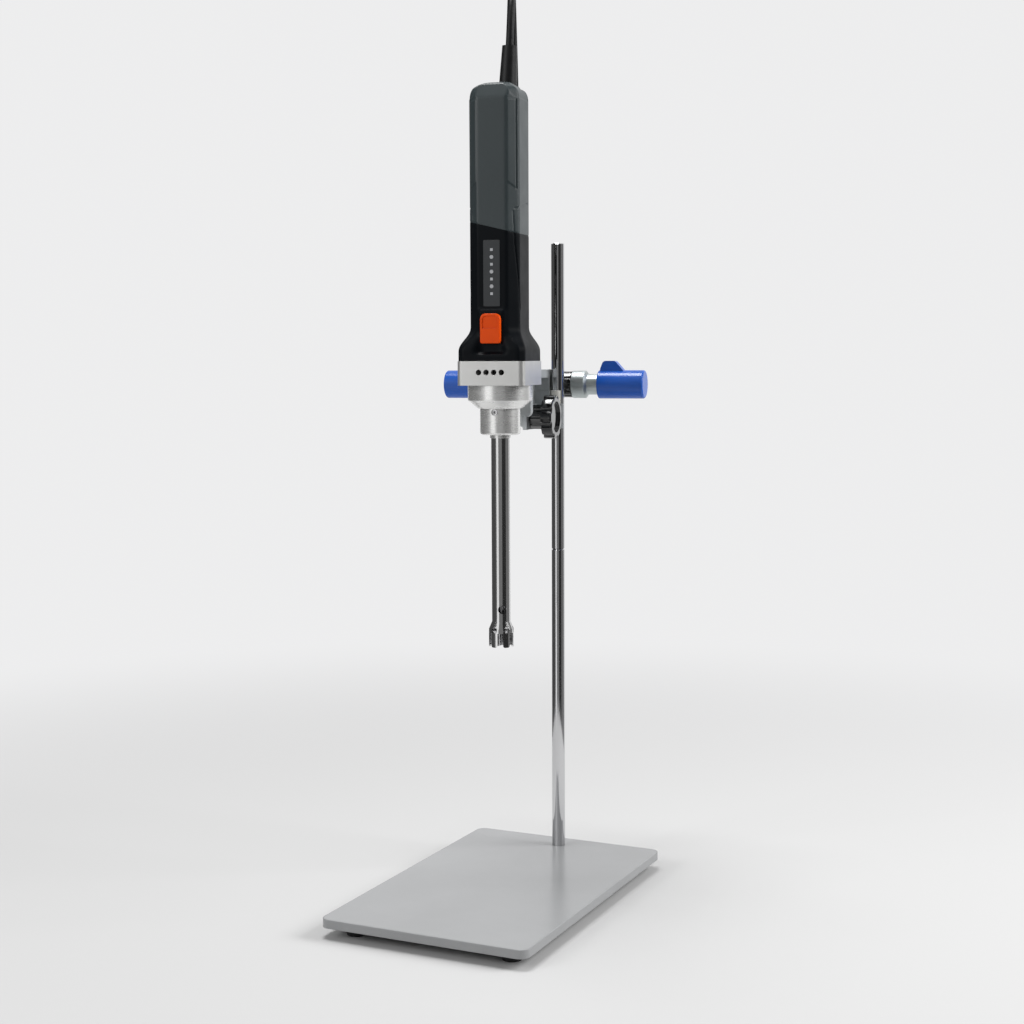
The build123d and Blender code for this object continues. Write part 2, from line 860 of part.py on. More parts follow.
# An upright plane through the tube's axis, facing the front when its turn is 0 degrees
def facing_plane(turned):
    angle = math.radians(turned)
    return Plane(
        origin=(0, 0, 0),
        x_dir=(math.cos(angle), math.sin(angle), 0),
        z_dir=(math.sin(angle), -math.cos(angle), 0),
    )


# Dispersing tube with a cross vent near its lower end
with BuildPart() as outer_tube:
    with BuildSketch(Plane.XY.offset(tube_bottom)):
        Circle(tube_radius)
        Circle(tube_bore, mode=Mode.SUBTRACT)
    extrude(amount=tube_top - tube_bottom)
    with BuildSketch(facing_plane(vent_turn)):
        with Locations((0, vent_z)):
            Circle(vent_radius)
    extrude(amount=tube_radius, both=True, mode=Mode.SUBTRACT)

# Slotted head: a flared cup with six windows and six claws
with BuildPart() as stator_head:
    with BuildSketch(Plane.XZ):
        with BuildLine():
            Polyline(
                (head_radius - head_wall, head_bottom),
                (head_radius, head_bottom),
                (head_radius, tube_bottom - head_flare),
                (tube_radius, tube_bottom),
                (tube_bore - running_gap, tube_bottom),
                (tube_bore - running_gap, tube_bottom + head_spigot),
                (tube_bore - running_gap - head_spigot_wall, tube_bottom + head_spigot),
                (tube_bore - running_gap - head_spigot_wall, tube_bottom - head_throat),
                (head_radius - head_wall, tube_bottom - head_flare),
                close=True,
            )
        make_face()
    revolve(axis=Axis.Z)
    for index in range(claw_count):
        with BuildSketch(facing_plane(claw_turn + 360 / claw_count * index)):
            with Locations((0, window_z)):
                Circle(window_radius)
        extrude(amount=head_radius, mode=Mode.SUBTRACT)
        with BuildSketch(facing_plane(claw_turn + 360 / claw_count * (index + 1 / 2))) as gap:
            with Locations((0, head_bottom + claw_height / 2)):
                Rectangle(claw_gap_width, claw_height)
            with Locations((0, head_bottom - claw_tip_round)):
                Rectangle(claw_gap_width + 4 * claw_tip_round, 2 * claw_tip_round)
            tips = gap.vertices().group_by(Axis.Y)[1].sort_by(Axis.X)[1:3]
            fillet(tips, claw_tip_round)
        extrude(amount=head_radius, mode=Mode.SUBTRACT)

with BuildPart() as rotor_blade:
    with BuildSketch(Plane.XY.offset(rotor_bottom)):
        Circle(rotor_hub_radius)
        with PolarLocations(0, rotor_blades // 2, angular_range=180):
            Rectangle(2 * rotor_radius, rotor_blade_thickness)
    extrude(amount=rotor_length)
    with BuildSketch(Plane.XY.offset(rotor_bottom + rotor_length)):
        Circle(drive_shaft_radius + running_gap)
    extrude(amount=-rotor_bore_depth, mode=Mode.SUBTRACT)

with BuildPart() as drive_shaft:
    with BuildSketch(Plane.XY.offset(rotor_bottom + rotor_length - rotor_bore_depth)):
        Circle(drive_shaft_radius)
    extrude(amount=coupling_bottom + coupling_shaft_depth - rotor_bottom - rotor_length + rotor_bore_depth)

bushes = {}
bush_places = {
    "bush_lower": tube_bottom + vent_height + vent_radius + bush_inset,
    "bush_upper": tube_top - bush_inset - bush_length,
}
for name, bottom in bush_places.items():
    with BuildPart() as bush:
        with BuildSketch(Plane.XY.offset(bottom)):
            Circle(tube_bore - running_gap)
            Circle(drive_shaft_radius + running_gap, mode=Mode.SUBTRACT)
        extrude(amount=bush_length)
    bushes[name] = bush

with BuildPart() as shaft_seal:
    with BuildSketch(Plane.XY.offset(seal_bottom)):
        Circle(tube_radius)
        Circle(drive_shaft_radius + running_gap, mode=Mode.SUBTRACT)
    extrude(amount=seal_length)

with BuildPart() as coupling:
    with BuildSketch(Plane.XY.offset(coupling_bottom)):
        Circle(coupling_radius)
    extrude(amount=coupling_length)
    with BuildSketch(Plane.XY.offset(coupling_bottom)):
        Circle(drive_shaft_radius + running_gap)
    extrude(amount=coupling_shaft_depth + loose_gap, mode=Mode.SUBTRACT)
    with BuildSketch(Plane.XY.offset(coupling_top)):
        Circle(motor_shaft_radius + running_gap)
    extrude(amount=-coupling_shaft_depth - loose_gap, mode=Mode.SUBTRACT)

with BuildPart() as motor_shaft:
    with BuildSketch(Plane.XY.offset(coupling_top - coupling_shaft_depth)):
        Circle(motor_shaft_radius)
    extrude(amount=upper_bearing_top - coupling_top + coupling_shaft_depth)

bearings = {}
bearing_places = {
    "bearing_lower": (lower_bearing_bottom, lower_bearing_radius),
    "bearing_upper": (upper_bearing_bottom, upper_bearing_radius),
}
for name, (bottom, outer) in bearing_places.items():
    with BuildPart() as bearing:
        with BuildSketch(Plane.XY.offset(bottom)):
            Circle(outer)
            Circle(motor_shaft_radius + running_gap, mode=Mode.SUBTRACT)
        extrude(amount=bearing_thickness)
        rims = bearing.edges().filter_by(GeomType.CIRCLE).group_by(SortBy.RADIUS)[-1]
        chamfer(rims, bearing_edge)
    bearings[name] = bearing

with BuildPart() as cooling_fan:
    with BuildSketch(Plane.XY.offset(fan_bottom)):
        Circle(fan_radius)
    extrude(amount=fan_disc)
    with BuildSketch(Plane.XY.offset(fan_bottom)):
        Circle(fan_hub_radius)
        with PolarLocations(fan_radius / 2, fan_blades):
            Rectangle(fan_radius, fan_blade_thickness)
        Circle(fan_radius, mode=Mode.INTERSECT)
    extrude(amount=fan_height)
    with BuildSketch(Plane.XY.offset(fan_bottom)):
        Circle(motor_shaft_radius + running_gap)
    extrude(amount=fan_height, mode=Mode.SUBTRACT)

with BuildPart() as armature:
    with BuildSketch(Plane.XY.offset(stator_bottom + (stator_length - armature_length) / 2)):
        Circle(armature_radius)
        Circle(motor_shaft_radius + running_gap, mode=Mode.SUBTRACT)
    extrude(amount=armature_length)

with BuildPart() as stator_core:
    with BuildSketch(Plane.XY.offset(stator_bottom)):
        Circle(housing_bore - running_gap)
        Circle(stator_bore, mode=Mode.SUBTRACT)
        with PolarLocations(stator_bore + (stator_slot_depth - stator_gap) / 2, stator_slots):
            Rectangle(stator_slot_depth + stator_gap, stator_slot_width, mode=Mode.SUBTRACT)
    extrude(amount=stator_length)

with BuildPart() as stator_coils:
    for bottom in (coil_bottom, stator_top):
        with BuildSketch(Plane.XY.offset(bottom)):
            Circle(stator_bore + coil_gap / 2 + coil_wall)
            Circle(stator_bore + coil_gap / 2, mode=Mode.SUBTRACT)
        extrude(amount=coil_height)

# Motor housing, drawn whole and cut in two along a sloping plane
split_plane = Plane(
    origin=(0, 0, split_z),
    x_dir=(math.cos(math.radians(split_slope)), 0, -math.sin(math.radians(split_slope))),
    z_dir=(math.sin(math.radians(split_slope)), 0, math.cos(math.radians(split_slope))),
)
with BuildPart() as housing_lower:
    with BuildSketch(Plane.XY.offset(seat_height)):
        add(shell_outline(base_half, base_bevel, base_back_round))
    extrude(amount=base_height)
    # the flare draws in along an S-curve
    for step in range(flare_steps + 1):
        rise = step / flare_steps
        share = (1 - math.cos(math.pi * rise)) / 2
        with BuildSketch(Plane.XY.offset(seat_height + base_height + flare_height * rise)):
            add(shell_outline(
                base_half + (body_half - base_half) * share,
                base_bevel + (body_bevel - base_bevel) * share,
                base_back_round + (body_back_round - base_back_round) * share,
            ))
    loft(ruled=True)
    with BuildSketch(Plane.XY.offset(body_bottom)):
        add(shell_outline(body_half, body_bevel, body_back_round))
    extrude(amount=motor_top - body_bottom)
    split(bisect_by=split_plane, keep=Keep.BOTTOM)
    with BuildSketch(Plane.XZ.offset(pad_front)):
        with Locations((0, (pad_low + pad_high) / 2)):
            RectangleRounded(2 * pad_half_width, pad_high - pad_low, pad_corner)
    extrude(amount=-(pad_front - housing_bore))
    with BuildSketch(Plane.XZ.offset(pad_front)):
        with Locations((0, (pad_low + pad_high) / 2)):
            Rectangle(2 * pad_half_width, pad_high - pad_low)
    extrude(amount=base_half - pad_front, mode=Mode.SUBTRACT)
    with BuildSketch(Plane.XY.offset(seat_height)):
        Circle(housing_bore)
    extrude(amount=upper_bearing_bottom - seat_height, mode=Mode.SUBTRACT)
    with BuildSketch(Plane.XY.offset(upper_bearing_bottom)):
        Circle(upper_bearing_radius + running_gap)
    extrude(amount=bearing_thickness + loose_gap, mode=Mode.SUBTRACT)
    # pocket for the switch, and the slot that the button's neck runs in
    with BuildSketch(Plane.XZ.offset(switch_back - switch_pocket_play)):
        with Locations((0, button_middle)):
            Rectangle(2 * (switch_half_width + switch_pocket_play), switch_height + 2 * switch_pocket_play)
    extrude(amount=pad_front - pad_skin - switch_back + switch_pocket_play, mode=Mode.SUBTRACT)
    with BuildSketch(Plane.XZ.offset(pad_front)):
        with Locations((0, button_middle - button_travel / 2)):
            Rectangle(
                button_neck_width + switch_slot_play,
                button_neck_height + button_travel + switch_slot_play,
            )
    extrude(amount=-pad_skin, mode=Mode.SUBTRACT)
    with BuildSketch(Plane.XZ.offset(body_half)):
        with Locations((0, label_low + label_height / 2)):
            RectangleRounded(label_width + running_gap, label_height + running_gap, label_corner)
    extrude(amount=-label_sink, mode=Mode.SUBTRACT)
    with BuildSketch(Plane.XY.offset(seat_height)):
        with Locations(*adapter_screw_points):
            Circle(adapter_screw_radius + running_gap)
    extrude(amount=adapter_screw_bite + loose_gap, mode=Mode.SUBTRACT)
    # pocket for the upper shell's tab, and the two screw holes from behind
    with BuildSketch(Plane.XY.offset(tab_low - loose_gap)):
        with Locations((0, body_half - housing_wall - tab_thickness / 2)):
            Rectangle(2 * (tab_half_width + loose_gap), tab_thickness + 2 * loose_gap)
    extrude(amount=tab_height, mode=Mode.SUBTRACT)
    with BuildSketch(Plane.XZ.offset(-body_half)):
        with Locations(*housing_screw_points):
            Circle(housing_screw_radius + running_gap)
    extrude(amount=housing_wall, mode=Mode.SUBTRACT)

with BuildPart() as housing_upper:
    with BuildSketch(Plane.XY.offset(body_bottom)):
        add(shell_outline(body_half, body_bevel, body_back_round))
    extrude(amount=motor_top - body_bottom)
    chamfer(housing_upper.faces().sort_by(Axis.Z)[-1].edges(), top_bevel)
    with BuildSketch(Plane.XY.offset(body_bottom)):
        add(shell_outline(
            body_half - housing_wall,
            body_bevel - housing_wall / 2,
            body_back_round - housing_wall,
        ))
    extrude(amount=motor_top - housing_wall - body_bottom, mode=Mode.SUBTRACT)
    split(bisect_by=split_plane, keep=Keep.TOP)
    with BuildSketch(Plane.XY.offset(tab_low)):
        with Locations((0, body_half - housing_wall - tab_thickness / 2)):
            Rectangle(2 * tab_half_width, tab_thickness)
    extrude(amount=tab_height)
    with BuildSketch(Plane.XZ.offset(-(body_half - housing_wall))):
        with Locations(*housing_screw_points):
            Circle(housing_screw_radius + running_gap)
    extrude(amount=tab_thickness, mode=Mode.SUBTRACT)
    with BuildSketch(Plane.XY.offset(motor_top)):
        with Locations((boot_x, boot_y)):
            Circle(boot_neck_radius + running_gap)
    extrude(amount=-housing_wall, mode=Mode.SUBTRACT)

with BuildPart() as housing_screws:
    with BuildSketch(Plane.XZ.offset(-body_half)):
        with Locations(*housing_screw_points):
            Circle(housing_screw_head_radius)
    extrude(amount=-housing_screw_head_height)
    with BuildSketch(Plane.XZ.offset(-body_half)):
        with Locations(*housing_screw_points):
            Circle(housing_screw_radius)
    extrude(amount=housing_screw_length)

with BuildPart() as label_panel:
    with BuildSketch(Plane.XZ.offset(body_half - label_sink)):
        with Locations((0, label_low + label_height / 2)):
            RectangleRounded(label_width, label_height, label_corner)
    extrude(amount=label_thickness)

# Slide button: an arched cap with a thumb rest, a neck through the slot and a tongue in the switch
with BuildPart() as slide_button:
    with BuildSketch(Plane.XZ.offset(pad_front + button_lift)) as cap:
        with Locations((0, button_middle)):
            Rectangle(button_width, button_height)
        fillet(cap.vertices().group_by(Axis.Y)[-1], button_round)
        fillet(cap.vertices().group_by(Axis.Y)[0], button_foot_round)
    extrude(amount=button_thickness)
    fillet(slide_button.faces().sort_by(Axis.Y)[0].edges(), button_edge)
    with BuildSketch(Plane.XZ.offset(pad_front + button_lift + button_thickness)) as thumb_rest:
        with Locations((0, button_middle + (button_height / 2 - thumb_rim) / 2)):
            Rectangle(button_width - 2 * thumb_rim, button_height / 2 - thumb_rim)
        fillet(thumb_rest.vertices().group_by(Axis.Y)[-1], thumb_round)
    extrude(amount=-thumb_depth, mode=Mode.SUBTRACT)
    with BuildSketch(Plane.XZ.offset(pad_front + button_lift)):
        with Locations((0, button_middle)):
            Rectangle(button_neck_width, button_neck_height)
    extrude(amount=-(pad_front + button_lift - switch_front - loose_gap))
    with BuildSketch(Plane.XZ.offset(pad_front)):
        with Locations((0, button_middle)):
            Rectangle(tongue_width, tongue_height)
    extrude(amount=-(pad_front - switch_front + tongue_depth))

with BuildPart() as switch_body:
    with BuildSketch(Plane.XZ.offset(switch_back)):
        with Locations((0, button_middle)):
            Rectangle(2 * switch_half_width, switch_height)
    extrude(amount=switch_front - switch_back)
    with BuildSketch(Plane.XZ.offset(switch_front)):
        with Locations((0, button_middle - button_travel / 2)):
            Rectangle(tongue_width + switch_slot_play, tongue_height + button_travel + switch_slot_play)
    extrude(amount=-(tongue_depth + loose_gap), mode=Mode.SUBTRACT)

# Control board across the upper shell, with its capacitors
with BuildPart() as control_board:
    with BuildSketch(Plane.XZ.offset(-board_y)):
        with Locations((0, board_bottom + board_height / 2)):
            Rectangle(2 * (body_half - housing_wall - board_edge_gap), board_height)
    extrude(amount=-board_thickness)
    with BuildSketch(Plane.XZ.offset(-board_y)):
        with Locations((0, board_bottom + board_height / 2)):
            with GridLocations(board_part_pitch, board_part_pitch, board_part_columns, board_part_rows):
                Circle(capacitor_radius)
    extrude(amount=capacitor_height)

# Strain relief: a neck in the housing's roof, a collar on it and a leaning sleeve
lean = math.radians(boot_lean)
boot_plane = Plane(
    origin=(boot_x, boot_y, motor_top + boot_collar_height / 2),
    z_dir=(math.sin(lean), 0, math.cos(lean)),
)
with BuildPart() as cord_boot:
    with BuildSketch(Plane.XY.offset(motor_top - housing_wall - running_gap - boot_flange_height)):
        with Locations((boot_x, boot_y)):
            Circle(boot_flange_radius)
    extrude(amount=boot_flange_height)
    with BuildSketch(Plane.XY.offset(motor_top - housing_wall - running_gap - boot_flange_height)):
        with Locations((boot_x, boot_y)):
            Circle(boot_neck_radius)
    extrude(amount=housing_wall + running_gap + boot_flange_height)
    with BuildSketch(Plane.XY.offset(motor_top)):
        with Locations((boot_x, boot_y)):
            Circle(boot_collar_radius)
    extrude(amount=boot_collar_height)
    with BuildSketch(boot_plane):
        Circle(boot_base_radius)
    with BuildSketch(boot_plane.offset(boot_length - boot_collar_height / 2)):
        Circle(boot_top_radius)
    loft()

# The cord's route, in a frame turned so that it runs straight back from the viewer
hank_angle = math.radians(hank_turn)


def route_point(back, side, height):
    x = side * math.cos(hank_angle) - back * math.sin(hank_angle)
    y = side * math.sin(hank_angle) + back * math.cos(hank_angle)
    return (x, y, height)


hank_bottom = beam_top + loose_gap + cord_radius + hank_fold_radius
hank_top = hank_bottom + hank_run
hank_middle = (hank_bottom + hank_top) / 2
boot_tip = boot_plane.origin + boot_plane.z_dir * (boot_length - boot_collar_height / 2)
lead_rise = boot_tip + boot_plane.z_dir * lead_first_run
fold_angle = math.pi / fold_steps
fold_corner = hank_fold_radius * math.tan(fold_angle / 2)
hank_start_height = hank_top + fold_corner + hank_lead_in
hank_centre = hank_back - hank_fold_radius


# The wire's path with each corner rounded as widely as its two runs allow
def corner_radii(points):
    radii = []
    for before, corner, after in zip(points, points[1:], points[2:]):
        incoming = Vector(*corner) - Vector(*before)
        outgoing = Vector(*after) - Vector(*corner)
        half_turn = math.radians(incoming.get_angle(outgoing) / 2)
        shorter = min(incoming.length, outgoing.length)
        radii.append(run_share * shorter / math.tan(half_turn))
    return radii


def cord_tube(points):
    with BuildPart() as tube:
        with BuildLine() as path:
            FilletPolyline(*points, radius=corner_radii(points))
        wire = path.wire()
        with BuildSketch(Plane(origin=wire @ 0, z_dir=wire % 0)):
            Circle(cord_radius)
        sweep(path=wire)
    return tube, wire


rise_side = lead_rise.X * math.cos(hank_angle) + lead_rise.Y * math.sin(hank_angle)
rise_back = lead_rise.Y * math.cos(hank_angle) - lead_rise.X * math.sin(hank_angle)
cord_points = [tuple(boot_tip), tuple(lead_rise)]
for back_share, side_share, height in arch_corners:
    back = rise_back + (hank_back - rise_back) * back_share
    side = rise_side + (hank_side - rise_side) * side_share
    cord_points.append(route_point(back, side, lead_rise.Z + height))
cord_points.append(route_point(hank_back, hank_side, hank_start_height))

cord_lead, cord_line = cord_tube(cord_points)

# The hank: each turn goes down the back, round the bottom, up the front with a climb
# to the next turn, and over the top, and both sides are drawn in at the waist
fold_reach = hank_fold_radius / math.cos(fold_angle / 2)
hank_points = [route_point(hank_back, hank_side, hank_start_height)]
for turn_index in range(hank_turns):
    side = hank_side - hank_pitch * turn_index
    if turn_index == 0:
        hank_points.append(route_point(hank_back, side, hank_top + fold_corner))
    hank_points.append(route_point(hank_back - hank_waist, side, hank_middle + hank_waist_half))
    hank_points.append(route_point(hank_back - hank_waist, side, hank_middle - hank_waist_half))
    for step in range(fold_steps):
        angle = fold_angle * (step + 1 / 2)
        back = hank_centre + fold_reach * math.cos(angle)
        hank_points.append(route_point(back, side, hank_bottom - fold_reach * math.sin(angle)))
    if turn_index == hank_turns - 1:
        break
    front = hank_centre - hank_fold_radius + hank_waist
    for share, offset in ((waist_share, -hank_waist_half), (1 - waist_share, hank_waist_half)):
        hank_points.append(route_point(front, side - hank_pitch * share, hank_middle + offset))
    for step in range(fold_steps):
        angle = math.pi - fold_angle * (step + 1 / 2)
        back = hank_centre + fold_reach * math.cos(angle)
        hank_points.append(route_point(back, side - hank_pitch, hank_top + fold_reach * math.sin(angle)))
last_side = hank_side - hank_pitch * (hank_turns - 1)
plug_side = last_side - cord_radius - tie_gap - tie_thickness - loose_gap - plug_thickness / 2
tail_front = hank_centre - hank_fold_radius
plug_bottom = hank_bottom + tail_height
hank_points.append(route_point(tail_front + tail_step, last_side - tail_step, hank_bottom + tail_first))
hank_points.append(route_point(tail_front + tail_shift, plug_side, hank_bottom + tail_second))
hank_points.append(route_point(tail_front + tail_shift, plug_side, plug_bottom))
cord_hank, hank_line = cord_tube(hank_points)

# A flat tie round the waist of the hank, and the plug on the cord's end
hank_x = Vector(*route_point(0, 1, 0))
tie_side = hank_side - hank_pitch * (hank_turns - 1) / 2
tie_deep = 2 * (hank_fold_radius - hank_waist + cord_radius + tie_gap)
tie_wide = hank_pitch * (hank_turns - 1) + 2 * (cord_radius + tie_gap)
tie_plane = Plane(
    origin=route_point(hank_centre, tie_side, hank_middle - tie_width / 2),
    x_dir=hank_x,
    z_dir=(0, 0, 1),
)
with BuildPart() as cord_tie:
    with BuildSketch(tie_plane):
        RectangleRounded(tie_wide + 2 * tie_thickness, tie_deep + 2 * tie_thickness, tie_corner)
        RectangleRounded(tie_wide, tie_deep, tie_corner - tie_thickness, mode=Mode.SUBTRACT)
    extrude(amount=tie_width)

plug_plane = Plane(
    origin=route_point(tail_front + tail_shift, plug_side, plug_bottom),
    x_dir=hank_x,
    z_dir=(0, 0, 1),
)
with BuildPart() as plug_body:
    with BuildSketch(plug_plane):
        Circle(cord_radius + plug_foot_wall)
    with BuildSketch(plug_plane.offset(plug_neck)):
        Circle(plug_thickness / 2)
    loft()
    with BuildSketch(plug_plane.offset(plug_neck)):
        RectangleRounded(plug_thickness, plug_width, plug_corner)
    extrude(amount=plug_length - plug_neck)

with BuildPart() as plug_pins:
    with BuildSketch(plug_plane.offset(plug_length)):
        with Locations((0, -plug_pin_pitch / 2), (0, plug_pin_pitch / 2)):
            Circle(plug_pin_radius)
    extrude(amount=plug_pin_length)
    chamfer(plug_pins.edges().group_by(Axis.Z)[-1], plug_pin_edge)

cord_section = math.pi * cord_radius**2
for name, tube, line in (("cord_lead", cord_lead, cord_line), ("cord_hank", cord_hank, hank_line)):
    share = tube.part.volume / (cord_section * line.length)
    print(name, "length", round(line.length), "volume over section times length", round(share, 4))
print("lead radii", [round(radius, 1) for radius in corner_radii(cord_points)])
print("hank radii", [round(radius, 1) for radius in corner_radii(hank_points)])

# Least gap of the hank to itself, measured on points along its path
samples = [hank_line.position_at(index / gap_samples) for index in range(gap_samples + 1)]
step_length = hank_line.length / gap_samples
skip = int(hank_fold_radius * math.pi / step_length)
closest = min(
    (first - second).length
    for index, first in enumerate(samples)
    for second in samples[index + skip:]
)
print("least gap of the hank to itself", round(closest - 2 * cord_radius, 2))

pieces = {
    "base_plate": base_plate,
    "feet": feet,
    "foot_screws": foot_screws,
    "column_lower": column_lower,
    "column_upper": column_upper,
    "joint_stud": joint_stud,
    "column_washer": column_washer,
    "column_screw": column_screw,
    "column_liner": column_liner,
    "carriage_casting": carriage_casting,
    "clamp_jaw": clamp_jaw,
    "bracket_screws": bracket_screws,
    "star_knob": star_knob,
    "clamp_stud": clamp_stud,
    "cross_bar": cross_bar,
    **handles,
    "adapter_flange": adapter_flange,
    "adapter_screws": adapter_screws,
    "adapter_body": adapter_body,
    "set_screw": set_screw,
    "tube_collar": tube_collar,
    "outer_tube": outer_tube,
    "stator_head": stator_head,
    "rotor_blade": rotor_blade,
    "drive_shaft": drive_shaft,
    **bushes,
    "shaft_seal": shaft_seal,
    "coupling": coupling,
    "motor_shaft": motor_shaft,
    **bearings,
    "cooling_fan": cooling_fan,
    "armature": armature,
    "stator_core": stator_core,
    "stator_coils": stator_coils,
    "housing_lower": housing_lower,
    "housing_upper": housing_upper,
    "housing_screws": housing_screws,
    "label_panel": label_panel,
    "slide_button": slide_button,
    "switch_body": switch_body,
    "control_board": control_board,
    "cord_boot": cord_boot,
    "cord_lead": cord_lead,
    "cord_hank": cord_hank,
    "cord_tie": cord_tie,
    "plug_body": plug_body,
    "plug_pins": plug_pins,
}
for name, piece in pieces.items():
    piece.part.label = name
    export_step(piece.part, f"parts/{name}.step")
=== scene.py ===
import json
import math

import bmesh
import bpy
import numpy
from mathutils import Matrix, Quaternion, Vector


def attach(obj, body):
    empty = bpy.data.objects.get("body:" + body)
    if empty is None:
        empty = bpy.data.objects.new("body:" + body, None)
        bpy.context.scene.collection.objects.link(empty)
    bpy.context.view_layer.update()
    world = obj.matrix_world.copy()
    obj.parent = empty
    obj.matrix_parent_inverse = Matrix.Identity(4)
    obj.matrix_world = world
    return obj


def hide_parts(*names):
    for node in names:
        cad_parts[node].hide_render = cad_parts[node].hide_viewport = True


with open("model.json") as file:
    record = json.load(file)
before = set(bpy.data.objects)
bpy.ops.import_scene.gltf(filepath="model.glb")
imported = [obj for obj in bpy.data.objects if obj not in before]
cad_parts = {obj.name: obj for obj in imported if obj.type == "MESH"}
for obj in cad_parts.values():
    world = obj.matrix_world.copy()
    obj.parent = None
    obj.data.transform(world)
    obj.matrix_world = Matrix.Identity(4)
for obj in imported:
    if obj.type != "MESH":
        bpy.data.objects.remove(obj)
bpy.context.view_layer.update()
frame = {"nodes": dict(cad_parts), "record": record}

nodes = frame["nodes"]

# Camera, where the photograph was taken from
camera_place = Vector((0.4481, -1.5002, 0.5113))
camera_turn = math.radians(16.25)
camera_tilt = math.radians(5.29)
camera_roll = math.radians(-0.25)
camera_lens = 60.23
sensor_side = 36.0
farthest_seen = 60


def make_camera():
    data = bpy.data.cameras.new("camera")
    data.lens = camera_lens
    data.sensor_width = sensor_side
    data.clip_end = farthest_seen
    camera = bpy.data.objects.new("camera", data)
    bpy.context.scene.collection.objects.link(camera)
    forward = Vector((
        -math.sin(camera_turn) * math.cos(camera_tilt),
        math.cos(camera_turn) * math.cos(camera_tilt),
        -math.sin(camera_tilt),
    ))
    camera.rotation_mode = "QUATERNION"
    camera.rotation_quaternion = forward.to_track_quat("-Z", "Y") @ Quaternion((0, 0, 1), camera_roll)
    camera.location = camera_place
    bpy.context.scene.camera = camera


make_camera()

# The cord: straight out of its boot, over and back behind the motor, and down into a tied hank
cord_diameter = 0.007
curve_steps = 6
curve_sides = 5
curve_order = 3
hank_turn = math.radians(16.5)
fold_radius = 0.024
hank_back = 0.0895
hank_side = 0.0156
hank_pitch = 0.0076
hank_turns = 4
hank_waist = 0.009
waist_half = 0.012
waist_share = 0.38
hank_bottom = 0.5232
hank_top = 0.6422
fold_steps = 4
fold_angle = 45
lead_in = 0.020
boot_tip = (0.006923, 0.012, 0.78695)
lead_rise = (0.00865, 0.012, 0.819905)
# Corners of the arch: distance back, distance to the side, height
arch_corners = (
    (0.0324, 0.0121, 0.8443),
    (0.0654, 0.0129, 0.8445),
    (0.0888, 0.0138, 0.8211),
    (hank_back, hank_side, 0.752),
)
tail_drift = 0.0023
tail_rise = 0.012
plug_side = -0.0203
plug_back = 0.009
plug_lead = 0.034
plug_rise = 0.052


def route_point(back, side, height):
    x = side * math.cos(hank_turn) - back * math.sin(hank_turn)
    y = side * math.sin(hank_turn) + back * math.cos(hank_turn)
    return (x, y, height)


def cord_route():
    corner = fold_radius * math.tan(math.radians(fold_angle / 2))
    reach = fold_radius / math.cos(math.radians(fold_angle / 2))
    middle = (hank_bottom + hank_top) / 2
    centre = hank_back - fold_radius
    points = [boot_tip, lead_rise]
    points += [route_point(*place) for place in arch_corners]
    points.append(route_point(hank_back, hank_side, hank_top + corner + lead_in))
    points.append(route_point(hank_back, hank_side, hank_top + corner))
    for turn in range(hank_turns):
        side = hank_side - hank_pitch * turn
        points.append(route_point(hank_back - hank_waist, side, middle + waist_half))
        points.append(route_point(hank_back - hank_waist, side, middle - waist_half))
        for step in range(fold_steps):
            angle = math.radians(fold_angle / 2 + fold_angle * step)
            back = centre + reach * math.cos(angle)
            points.append(route_point(back, side, hank_bottom - reach * math.sin(angle)))
        if turn == hank_turns - 1:
            break
        front = centre - fold_radius + hank_waist
        for share, offset in ((waist_share, -waist_half), (1 - waist_share, waist_half)):
            points.append(route_point(front, side - hank_pitch * share, middle + offset))
        for step in range(fold_steps):
            angle = math.radians(180 - fold_angle / 2 - fold_angle * step)
            back = centre + reach * math.cos(angle)
            points.append(route_point(back, side - hank_pitch, hank_top + reach * math.sin(angle)))
    last_side = hank_side - hank_pitch * (hank_turns - 1)
    tail = centre - fold_radius
    points.append(route_point(tail + tail_drift, last_side - tail_drift, hank_bottom + tail_rise))
    points.append(route_point(tail + plug_back, plug_side, hank_bottom + plug_lead))
    points.append(route_point(tail + plug_back, plug_side, hank_bottom + plug_rise))
    return points


def make_cord():
    """The thickness comes from the radius at each point, so the bevel itself is one unit deep."""
    points = cord_route()
    data = bpy.data.curves.new("mains_cord", "CURVE")
    data.dimensions = "3D"
    data.resolution_u = curve_steps
    data.bevel_depth = 1
    data.bevel_resolution = curve_sides
    data.use_fill_caps = True
    spline = data.splines.new("NURBS")
    spline.points.add(len(points) - 1)
    for target, point in zip(spline.points, points):
        target.co = (*point, 1)
        target.radius = cord_diameter / 2
    spline.order_u = curve_order
    spline.use_endpoint_u = True
    cord = bpy.data.objects.new("mains_cord", data)
    bpy.context.scene.collection.objects.link(cord)
    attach(cord, "head")
    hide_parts("cord_lead", "cord_hank")
    return cord


mains_cord = make_cord()

# Material helpers: each material is one shader with noise for its colour, sheen and surface
noise_low = 0.3
noise_high = 0.7
tone_detail = 4.0
grain_detail = 3.0
ring_distortion = 1.2
ring_detail = 2.0
edge_samples = 4


